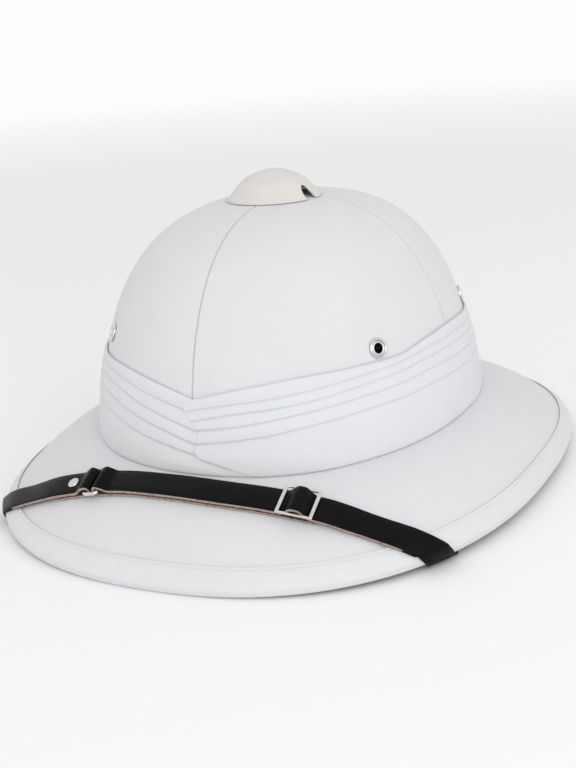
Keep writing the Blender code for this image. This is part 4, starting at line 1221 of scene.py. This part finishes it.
class StrapRoute:
    """The way of one strap over the brim, round its edge and back under it to a stud.

    The route is worked out on the side of growing angles, and side is -1 for a mirrored strap.
    A place on it is a length from the ring's bar, a share across the width from -1 to 1 and a lift, the
    height of the leather's middle above what it lies on.
    """

    def __init__(self, rows, side, ring):
        self.side = side
        self.samples = []
        count = 240
        first, last = rows[0]["angle"], rows[-1]["angle"]
        for step in range(count + 1):
            degrees = first + (last - first) * step / count
            self.samples.append((math.radians(degrees), curve_through(rows, "out", degrees)))
        places = [self.on_brim(angle, out)[0] for angle, out in self.samples]
        lengths = [0.0]
        for before, after in zip(places, places[1:]):
            lengths.append(lengths[-1] + (after - before).length)
        after = next(i for i, sample in enumerate(self.samples) if i and sample[0] >= ring)
        low, high = self.samples[after - 1][0], self.samples[after][0]
        share = (ring - low) / (high - low)
        at_ring = lengths[after - 1] + share * (lengths[after] - lengths[after - 1])
        self.lengths = [length - at_ring - RING_LENGTH / 2 for length in lengths]
        self.end = self.lengths[-1]
        edge_step = 0.002
        angle = self.samples[-1][0]
        along = around(angle + edge_step, brim_radius(angle + edge_step), 0)
        along -= around(angle - edge_step, brim_radius(angle - edge_step), 0)
        self.edge_rate = 2 * edge_step / along.length
        normal = self.on_brim(angle, 1)[1]
        travel = (places[-1] - places[-3]).normalized()
        rim = (along - normal * along.dot(normal)).normalized()
        turned_by = math.acos(min(1.0, travel.cross(normal).dot(rim.cross(normal))))
        self.slant = STRAP_SLANT_SHARE * turned_by
        self.drop = binding_top(angle, brim_radius(angle)) - binding_bottom(angle, brim_radius(angle))

    def on_brim(self, angle, out):
        """A point of the brim's outer face, binding included, and its normal."""
        step = 0.0004
        foot = foot_radius(angle)
        radius = foot + (brim_radius(angle) - foot) * out

        def surface(at, from_centre):
            from_edge = brim_radius(at) - from_centre
            covered = ease((BINDING_WIDTH + STRAP_RISE_START - from_edge) / STRAP_RISE)
            rise = (CLEARANCE + BINDING_WALL) * covered
            return around(at, from_centre, brim_top(at, from_centre) + rise)

        turn = step / radius
        around_crown = surface(angle + turn, radius) - surface(angle - turn, radius)
        outwards = surface(angle, radius + step) - surface(angle, radius - step)
        return surface(angle, radius), outwards.cross(around_crown).normalized()

    def centre(self, length):
        """The centre line's (angle, out) at a length from the ring."""
        after = next((i for i, at in enumerate(self.lengths) if i and at >= length), len(self.lengths) - 1)
        share = (length - self.lengths[after - 1]) / (self.lengths[after] - self.lengths[after - 1])
        before, behind = self.samples[after - 1], self.samples[after]
        return (
            before[0] + (behind[0] - before[0]) * share,
            before[1] + (behind[1] - before[1]) * share,
        )

    def frame(self, length):
        """Place, normal, direction of travel and direction across at a length over the brim."""
        step = 0.0005
        place, normal = self.on_brim(*self.centre(length))
        ahead = self.on_brim(*self.centre(min(length + step, self.end)))[0]
        behind = self.on_brim(*self.centre(min(length + step, self.end) - 2 * step))[0]
        travel = (ahead - behind).normalized()
        travel = (travel - normal * travel.dot(normal)).normalized()
        return place, normal, travel, normal.cross(travel)

    def over_brim(self, length, lift):
        """The points across the strap, with normals, on top of the brim."""
        place, _, travel, across = self.frame(length)
        to_edge = self.end - length
        shear = math.tan(self.slant) * ease((SKEW_START - to_edge) / SKEW_LENGTH)
        row = []
        for share in ACROSS:
            flat = place + (across + travel * shear) * (share * STRAP_WIDTH / 2)
            angle = math.atan2(flat.x, -flat.y)
            foot = foot_radius(angle)
            out = (math.hypot(flat.x, flat.y) - foot) / (brim_radius(angle) - foot)
            point, up = self.on_brim(angle, min(out, 1.0))
            row.append((point + up * lift, up))
        return self.mirrored(row)

    def round_edge(self, beyond, lift):
        """The points across the strap, this far past the brim's top corner."""
        angle = self.samples[-1][0] + beyond * math.tan(self.slant) * self.edge_rate
        half = STRAP_WIDTH / 2 / math.cos(self.slant) * self.edge_rate
        row = []
        for share in ACROSS:
            at = angle + share * half
            edge = brim_radius(at)
            corner, up = self.on_brim(at, 1)
            outwards = around(at, 1, 0)
            slope = math.atan2(up.z, up.dot(outwards))
            bend = slope * lift
            if beyond <= bend:
                turn = slope - beyond / lift
                middle = corner
            elif beyond <= bend + self.drop:
                turn = 0.0
                tuck = BINDING_TUCK * ((beyond - bend) / self.drop) ** 2
                middle = corner - Vector((0, 0, beyond - bend)) - outwards * tuck
            else:
                turn = -(beyond - bend - self.drop) / lift
                middle = around(at, edge - BINDING_TUCK, binding_bottom(at, edge))
            normal = outwards * math.cos(turn) + Vector((0, 0, math.sin(turn)))
            row.append((middle + normal * lift, normal))
        return self.mirrored(row)

    def edge_length(self, lift):
        """Length of the bend over the top corner, the edge's face and the bend under it."""
        angle = self.samples[-1][0]
        up = self.on_brim(angle, 1)[1]
        slope = math.atan2(up.z, up.dot(around(angle, 1, 0)))
        return slope * lift + self.drop + math.pi / 2 * lift

    def under_brim(self, lift):
        """Rows from the edge's lower corner to the tail above the stud."""
        beyond = self.edge_length(lift)
        middle = len(ACROSS) // 2
        last = self.mirrored(self.round_edge(beyond, lift))
        before = self.mirrored(self.round_edge(beyond - 0.0002, lift))
        start, under = last[middle]
        leave = (start - before[middle][0]).normalized()
        wall = inside_wall(CROWN_START + STUD_HEIGHT)
        stud = Vector((wall, 0, CROWN_START + STUD_HEIGHT))
        tail = STRAP_TAIL + STRAP_WIDTH / 4
        lean = (inside_wall(CROWN_START + STUD_HEIGHT + tail) - wall) / tail
        lip = CROWN_START - BRIM_ROOT_FALL_SIDES - BRIM_WALL
        down = lip - TURN_DOWN * STRAP_WIDTH
        turn = Vector((wall - TURN_INWARDS * STRAP_WIDTH, -TURN_FORWARDS * STRAP_WIDTH, down))
        rise = (stud - turn).normalized()
        arrive = ((turn - start).normalized() + rise).normalized()
        upright = Vector((lean, 0.5, 0.85)).normalized()
        inwards = Vector((-1, 0, 0))
        rows = []
        for step in range(1, 37):
            share = step / 36
            centre, travel = hermite(start, leave, turn, arrive, share)
            way = under.lerp(inwards, HALF_TURNED * ease(share))
            rows.append(self.free_row(centre, travel, way, 1 - min(1.0, share * 2.5)))
        for step in range(1, 19):
            share = step / 18
            centre, travel = hermite(turn, arrive, stud, upright, share)
            way = under.lerp(inwards, HALF_TURNED + (1 - HALF_TURNED) * ease(share))
            rows.append(self.free_row(centre, travel, way, 0.0))
        self.stud_place, self.stud_axis = rows[-1][middle]
        for share in (0.3, 0.6, 0.9, 1.0):
            rows.append(self.free_row(stud + upright * (STRAP_TAIL * share), upright, inwards, 0.0))
        return rows

    def free_row(self, centre, travel, normal, lean):
        travel = travel.normalized()
        normal = (normal - travel * normal.dot(travel)).normalized()
        shear = math.tan(self.slant) * ease(lean)
        across = (normal.cross(travel) + travel * shear) * (STRAP_WIDTH / 2)
        return self.mirrored([(centre + across * share, normal) for share in ACROSS])

    def mirrored(self, row):
        flip = Vector((self.side, 1, 1))
        return [(point * flip, normal * flip) for point, normal in row]

    def fold(self, length, low, high):
        """Half a turn round a bar at a length, from the leaf below up to the strap above."""
        place, normal, travel, across = self.frame(length)
        radius = (high - low) / 2
        rows = []
        for step in range(1, 16):
            turn = math.pi * (1 - step / 16)
            row = []
            for share in ACROSS:
                out = normal * math.cos(turn) - travel * math.sin(turn)
                side_point = place + across * (share * STRAP_WIDTH / 2)
                angle = math.atan2(side_point.x, -side_point.y)
                foot = foot_radius(angle)
                reach = (math.hypot(side_point.x, side_point.y) - foot) / (brim_radius(angle) - foot)
                base = self.on_brim(angle, reach)[0]
                row.append((base + normal * (low + radius) + out * radius, out))
            rows.append(row)
        return [self.mirrored(row) for row in rows]


# Lifts of the leather's middle above the brim
LEAF_LIFT = CLEARANCE + STRAP_THICKNESS / 2
EDGE_LIFT = CLEARANCE * 0.6 + STRAP_THICKNESS * STRAP_PULLED_THIN / 2
SECOND_LIFT = LEAF_LIFT + STRAP_THICKNESS + CLEARANCE
RING_LIFT = LEAF_LIFT + STRAP_THICKNESS / 2 + FOLD_CLEARANCE + RING_WIRE_RADIUS
RING_TOP_LIFT = 2 * RING_LIFT - LEAF_LIFT
BUCKLE_LIFT = SECOND_LIFT + STRAP_THICKNESS / 2 + FOLD_CLEARANCE + BUCKLE_PLATE / 2
BUCKLE_TOP_LIFT = BUCKLE_LIFT + BUCKLE_PLATE / 2 + FOLD_CLEARANCE + STRAP_THICKNESS / 2


def lift_over_leaf(length, leaf_end):
    """The upper strap comes down from the ring, and down again past the leaf's end."""
    down = ease(length / (RIVET_PLACE - RIVET_HEAD_RADIUS))
    from_ring = RING_TOP_LIFT + (SECOND_LIFT - RING_TOP_LIFT) * down
    past_leaf = ease((length - leaf_end - LEAF_END_GAP) / LEAF_STEP_DOWN)
    return from_ring + (LEAF_LIFT - SECOND_LIFT) * past_leaf


def buckle_lift(length, leaf_end):
    """The long strap goes under the buckle's end bars and over its middle bar."""
    window = BUCKLE_LENGTH / 2 - BUCKLE_BAR * 0.9
    rise = 1 - ease((abs(length - BUCKLE_PLACE) - BUCKLE_BAR * 0.55) / (window - BUCKLE_BAR * 0.55))
    base = lift_over_leaf(length, leaf_end)
    return base + (BUCKLE_TOP_LIFT - base) * rise


def lengths_between(start, end, step):
    count = max(1, round(abs(end - start) / step))
    return [start + (end - start) * i / count for i in range(count + 1)]


def strap_rows(route, leaf, lift_at, buckle=()):
    """Rows of one strap: the leaf under it, the fold round the ring, the top, the edge and below."""
    rows = []
    for length in lengths_between(leaf, 0, STRAP_STEP):
        row = route.over_brim(length, LEAF_LIFT)
        rows.append([(point, -normal) for point, normal in row])
    rows += route.fold(0, LEAF_LIFT, RING_TOP_LIFT)
    stops = [0.0, RIVET_PLACE, *buckle, route.end]
    for start, end in zip(stops, stops[1:]):
        bends = start == 0 or start in buckle[:1]
        for length in lengths_between(start, end, STRAP_STEP / 3 if bends else STRAP_STEP)[:-1]:
            near_edge = ease(1 - (route.end - length) / EDGE_LIFT_START)
            lift = lift_at(length) + (EDGE_LIFT - LEAF_LIFT) * near_edge
            rows.append(route.over_brim(length, lift))
    edge = route.edge_length(EDGE_LIFT)
    for beyond in lengths_between(0, edge, 0.0004):
        rows.append(route.round_edge(beyond, EDGE_LIFT))
    return rows + route.under_brim(EDGE_LIFT)


def ribbon(name, rows, finishes):
    """Leather through rows of (point, normal): grain on top, cut edges and the flesh side."""
    bevel = STRAP_EDGE_ROUND
    travelled = 0.0
    before = None
    grid = []
    for row in rows:
        centre = row[len(row) // 2][0]
        travelled += (centre - before).length if before else 0.0
        before = centre
        across = (row[-1][0] - row[0][0]).normalized()
        pulled = 1 - ease((centre.z - STRAP_THIN_BELOW) / STRAP_THIN_FADE)
        half = STRAP_THICKNESS / 2 * (1 + (STRAP_PULLED_THIN - 1) * pulled)
        fray = FRAY_FINE * noise.noise(Vector((travelled * 900, 1.3, 0)))
        fray += FRAY_BROAD * noise.noise(Vector((travelled * 240, 6.1, 0)))
        section = []
        for share, (point, normal) in zip(ACROSS, row):
            inset = across * (-bevel * share) if abs(share) == 1 else Vector()
            section.append((point + normal * half + inset, share * STRAP_WIDTH / 2))
        point, normal = row[-1]
        edge = STRAP_WIDTH / 2
        out = across * (fray * 0.7)
        section.append((point + normal * (half - bevel * 0.35) - across * bevel * 0.3, edge + 0.0003))
        section.append((point + normal * (half - bevel) + out, edge + 0.0006))
        section.append((point - normal * (half - bevel) + out * 1.5, edge + 0.0018))
        for share, (point, normal) in reversed(list(zip(ACROSS, row))):
            inset = across * (-bevel * 0.5 * share) if abs(share) == 1 else Vector()
            section.append((point - normal * half + inset, edge + 0.002 + (1 - share) * edge))
        point, normal = row[0]
        section.append((point - normal * (half - bevel) - out * 1.5, 3 * edge + 0.0035))
        section.append((point + normal * (half - bevel) - out, 3 * edge + 0.0047))
        section.append((point + normal * (half - bevel * 0.35) + across * bevel * 0.3, 3 * edge + 0.005))
        points = [(place, (travelled, flat)) for place, flat in section]
        grid.append(points + [(points[0][0], (travelled, 3 * edge + 0.0053))])

    def finish_at(row, column):
        if column < 6 or column > 14:
            return 0
        if grid[row][0][0].z < STRAP_DYED_BELOW:
            return 0
        if column in (6, 14):
            return 1
        return 2 if 7 < column < 13 else 1

    return skin(name, [grid], finishes, finish_at, sharp=45)


def build_ring(route, metal):
    """A rounded oblong of wire, that the ends of both straps fold round."""
    place, normal, travel, across = route.frame(-RING_LENGTH / 2)
    half_length, half_width = RING_LENGTH / 2, RING_WIDTH / 2
    corner = 2 * RING_WIRE_RADIUS
    origin = place + normal * RING_LIFT
    spots = []
    for quarter, (x, y) in enumerate(((1, 1), (-1, 1), (-1, -1), (1, -1))):
        for step in range(9):
            turn = math.pi / 2 * (quarter + step / 8)
            flat = travel * (x * (half_length - corner) + corner * math.cos(turn))
            flat += across * (y * (half_width - corner) + corner * math.sin(turn))
            out = travel * math.cos(turn) + across * math.sin(turn)
            spots.append((origin + flat, out))
    spots.append(spots[0])
    rows = []
    for index, (middle, out) in enumerate(spots):
        row = []
        for side in range(21):
            turn = 2 * math.pi * (side % 20) / 20
            way = out * math.cos(turn) + normal * math.sin(turn)
            row.append((middle + way * RING_WIRE_RADIUS, (index * 0.001, side * 0.0003)))
        rows.append(row)
    return skin("strap_ring_nickel", [rows], [metal], sharp=60, caps=False)


def build_buckle(route, metal):
    """A flat frame with a middle bar and rounded edges."""
    place, normal, travel, across = route.frame(BUCKLE_PLACE)
    axes = Matrix((travel, across, normal)).transposed().to_4x4()
    axes.translation = place + normal * BUCKLE_LIFT
    rail = (BUCKLE_WIDTH - STRAP_WIDTH) / 2 - 2 * CLEARANCE
    xs = (-BUCKLE_LENGTH / 2, -BUCKLE_LENGTH / 2 + BUCKLE_BAR, -BUCKLE_BAR / 2)
    xs += tuple(-x for x in reversed(xs))
    ys = (-BUCKLE_WIDTH / 2, -BUCKLE_WIDTH / 2 + rail, BUCKLE_WIDTH / 2 - rail, BUCKLE_WIDTH / 2)
    shape = bmesh.new()
    corners = {}
    for i, x in enumerate(xs):
        for j, y in enumerate(ys):
            for k, z in enumerate((-BUCKLE_PLATE / 2, BUCKLE_PLATE / 2)):
                corners[i, j, k] = shape.verts.new(axes @ Vector((x, y, z)))
    solid = {(i, j) for i in range(5) for j in range(3) if not (j == 1 and i in (1, 3))}
    for i, j in solid:
        ring = ((i, j), (i + 1, j), (i + 1, j + 1), (i, j + 1))
        shape.faces.new([corners[a, b, 1] for a, b in ring])
        shape.faces.new([corners[a, b, 0] for a, b in reversed(ring)])
        neighbours = ((i, j - 1), (i + 1, j), (i, j + 1), (i - 1, j))
        for side, neighbour in enumerate(neighbours):
            if neighbour not in solid:
                (a, b), (c, d) = ring[side], ring[(side + 1) % 4]
                shape.faces.new([corners[a, b, 0], corners[c, d, 0], corners[c, d, 1], corners[a, b, 1]])
    bmesh.ops.recalc_face_normals(shape, faces=shape.faces)
    mesh = bpy.data.meshes.new("slide_buckle_nickel")
    shape.to_mesh(mesh)
    shape.free()
    buckle = add_piece("slide_buckle_nickel", mesh, [metal], sharp=40)
    edges = buckle.modifiers.new("edges", "BEVEL")
    edges.width = BUCKLE_EDGE_ROUND
    edges.segments = 3
    edges.limit_method = "ANGLE"
    settle(buckle)
    buckle.data.shade_smooth()
    buckle.data.set_sharp_from_angle(angle=math.radians(50))
    return buckle


def domed_profile(shank, head, dome, top, bottom):
    """A round head over a shank."""
    points = []
    for step in range(9):
        turn = math.pi / 2 * step / 8
        points.append((head * math.sin(turn), top + dome * (0.25 + 0.75 * math.cos(turn))))
    return points + [(head, top), (shank, top), (shank, bottom), (0, bottom)]


def build_straps(leathers, metal, crown):
    long_route = StrapRoute(LONG_STRAP_ROWS, 1, RING_ANGLE)
    short_route = StrapRoute(SHORT_STRAP_ROWS, -1, -RING_ANGLE)
    span = (BUCKLE_PLACE - BUCKLE_LENGTH / 2, BUCKLE_PLACE + BUCKLE_LENGTH / 2)
    long_rows = strap_rows(long_route, LEAF_LONG, lambda at: buckle_lift(at, LEAF_LONG), span)
    short_rows = strap_rows(short_route, LEAF_SHORT, lambda at: lift_over_leaf(at, LEAF_SHORT))
    long_strap = ribbon("chin_strap_long_leather", long_rows, leathers)
    short_strap = ribbon("chin_strap_short_leather", short_rows, leathers)
    build_rivet(short_route, short_strap, metal)
    cutters = []
    for side, route, strap in (("left", long_route, long_strap), ("right", short_route, short_strap)):
        axes = facing(route.stud_place, route.stud_axis)
        top = STRAP_THICKNESS / 2 + FOLD_CLEARANCE
        wall = -STRAP_THICKNESS / 2 - STUD_STANDOFF
        profile = domed_profile(STUD_SHANK_RADIUS, STUD_HEAD_RADIUS, STUD_HEAD, top, wall - STUD_DEPTH)
        stud = turned(f"strap_stud_{side}_nickel", profile, metal, 40, axes)
        declare(stud, "strap_metal", f"strap_stud_{side}")
        hole = STUD_SHANK_RADIUS + CLEARANCE
        cut(strap, [drill(hole, 2 * STRAP_THICKNESS, axes)])
        cutters.append(drill(hole, 2 * (-wall + STUD_DEPTH + CLEARANCE), axes))
    cut(crown, cutters)
    declare(long_strap, "strap_leather", "chin_strap_long")
    declare(short_strap, "strap_leather", "chin_strap_short")
    declare(build_buckle(long_route, metal), "strap_metal", "slide_buckle")
    declare(build_ring(long_route, metal), "strap_metal", "strap_ring")


def build_rivet(route, strap, metal):
    """A small domed rivet through the short strap's fold."""
    place, normal, _, _ = route.frame(RIVET_PLACE)
    top = lift_over_leaf(RIVET_PLACE, LEAF_SHORT) + STRAP_THICKNESS / 2
    flip = Vector((route.side, 1, 1))
    axes = facing(place * flip, normal * flip)
    profile = domed_profile(RIVET_SHANK_RADIUS, RIVET_HEAD_RADIUS, RIVET_HEAD + CLEARANCE, top, CLEARANCE)
    rivet = turned("strap_rivet_nickel", profile, metal, 40, axes)
    declare(rivet, "strap_metal", "strap_rivet")
    cut(strap, [drill(RIVET_SHANK_RADIUS + CLEARANCE, 4 * top, axes)])


# Studio: soft square lights round the helmet, in degrees, metres and watts
LIGHTS = (
    {"name": "front_light", "azimuth": 34, "elevation": 24, "distance": 1.6, "size": 1.1, "power": 7},
    {"name": "side_light", "azimuth": 80, "elevation": 35, "distance": 1.8, "size": 1.0, "power": 1.6},
)
LIGHTS_AIM_HEIGHT = 0.08
SKY_STRENGTH = 0.84
FLOOR_RADIUS = 30

# Colours of the cotton
WHITE_COTTON = (0.70, 0.704, 0.722)
BINDING_COTTON = (0.715, 0.719, 0.737)
PUGAREE_COTTON = (0.712, 0.716, 0.738)
WHITE_THREAD = (0.70, 0.70, 0.71)

# Camera
CAMERA_AZIMUTH = math.radians(27.156)
CAMERA_ELEVATION = math.radians(17.879)
CAMERA_ROLL = math.radians(-4.326)
CAMERA_DISTANCE = 0.739
CAMERA_LENS = 62.65
CAMERA_SHIFT = (-0.0085, 0.0137)


def add_camera():
    level = math.cos(CAMERA_ELEVATION)
    back = Vector(
        (math.sin(CAMERA_AZIMUTH) * level, -math.cos(CAMERA_AZIMUTH) * level, math.sin(CAMERA_ELEVATION))
    )
    right = Vector((math.cos(CAMERA_AZIMUTH), math.sin(CAMERA_AZIMUTH), 0))
    up = back.cross(right)
    turned_right = right * math.cos(CAMERA_ROLL) + up * math.sin(CAMERA_ROLL)
    turned_up = up * math.cos(CAMERA_ROLL) - right * math.sin(CAMERA_ROLL)
    lens = bpy.data.cameras.new("camera")
    lens.lens = CAMERA_LENS
    lens.shift_x, lens.shift_y = CAMERA_SHIFT
    lens.clip_start = 0.01
    camera = bpy.data.objects.new("camera", lens)
    bpy.context.scene.collection.objects.link(camera)
    camera.matrix_world = Matrix((turned_right, turned_up, back)).transposed().to_4x4()
    camera.matrix_world.translation = Vector((0, -FORWARD, CROWN_START)) + back * CAMERA_DISTANCE
    bpy.context.scene.camera = camera


def add_light(name, azimuth, elevation, distance, size, power):
    """A soft square light that faces the helmet."""
    lamp = bpy.data.lights.new(name, "AREA")
    lamp.size = size
    lamp.energy = power
    light = bpy.data.objects.new(name, lamp)
    bpy.context.scene.collection.objects.link(light)
    azimuth, elevation = math.radians(azimuth), math.radians(elevation)
    way = around(azimuth, math.cos(elevation), math.sin(elevation))
    light.matrix_world = facing(Vector((0, 0, LIGHTS_AIM_HEIGHT)) + way * distance, way)


def add_studio():
    world = bpy.data.worlds.new("studio")
    bpy.context.scene.world = world
    world.use_nodes = True
    sky = world.node_tree.nodes["Background"]
    sky.inputs["Color"].default_value = (1, 1, 1, 1)
    sky.inputs["Strength"].default_value = SKY_STRENGTH
    for light in LIGHTS:
        add_light(**light)
    bpy.ops.mesh.primitive_circle_add(vertices=96, radius=FLOOR_RADIUS, fill_type="NGON")
    floor = bpy.context.object
    floor.name = "pale_floor"
    floor.data.materials.append(pale_floor())
    bpy.context.scene.view_settings.view_transform = "Standard"


def main():
    add_camera()
    add_studio()
    crown_cotton = cotton("white_cotton_crown", WHITE_COTTON)
    brim_cotton = cotton("white_cotton_brim", WHITE_COTTON)
    binding_cotton = cotton("white_cotton_binding", BINDING_COTTON, bias=True)
    pugaree_cotton = cotton("white_cotton_pugaree", PUGAREE_COTTON, thread=0.00042)
    thread = cotton("white_thread", WHITE_THREAD, thread=0.0002)
    metal = nickel()
    leathers = [
        black_leather(),
        raw_leather("cut_leather_edge", (0.42, 0.33, 0.30), (0.12, 0.07, 0.06), 0.32, 0.52),
        raw_leather("flesh_side", (0.20, 0.10, 0.085), (0.035, 0.02, 0.018), 0.35, 0.65),
    ]
    crown = build_crown(crown_cotton)
    brim = build_brim(brim_cotton)
    binding = build_binding(binding_cotton)
    stitches = build_binding_stitches(thread)
    pugaree = build_pugaree(pugaree_cotton)
    cap = build_cap(cap_leathercloth())
    collar = build_collar(nickel("collar_metal", (0.55, 0.55, 0.55)))
    build_eyelets(metal, crown)
    build_straps(leathers, metal, crown)
    declare(crown, "crown_cloth", "crown")
    declare(brim, "brim_cloth", "brim")
    declare(binding, "binding_cloth", "edge_binding")
    declare(stitches, "binding_cloth")
    declare(pugaree, "pugaree_cloth", "pugaree")
    declare(cap, "cap_leather", "vent_cap")
    declare(collar, "collar_metal", "vent_collar")


main()
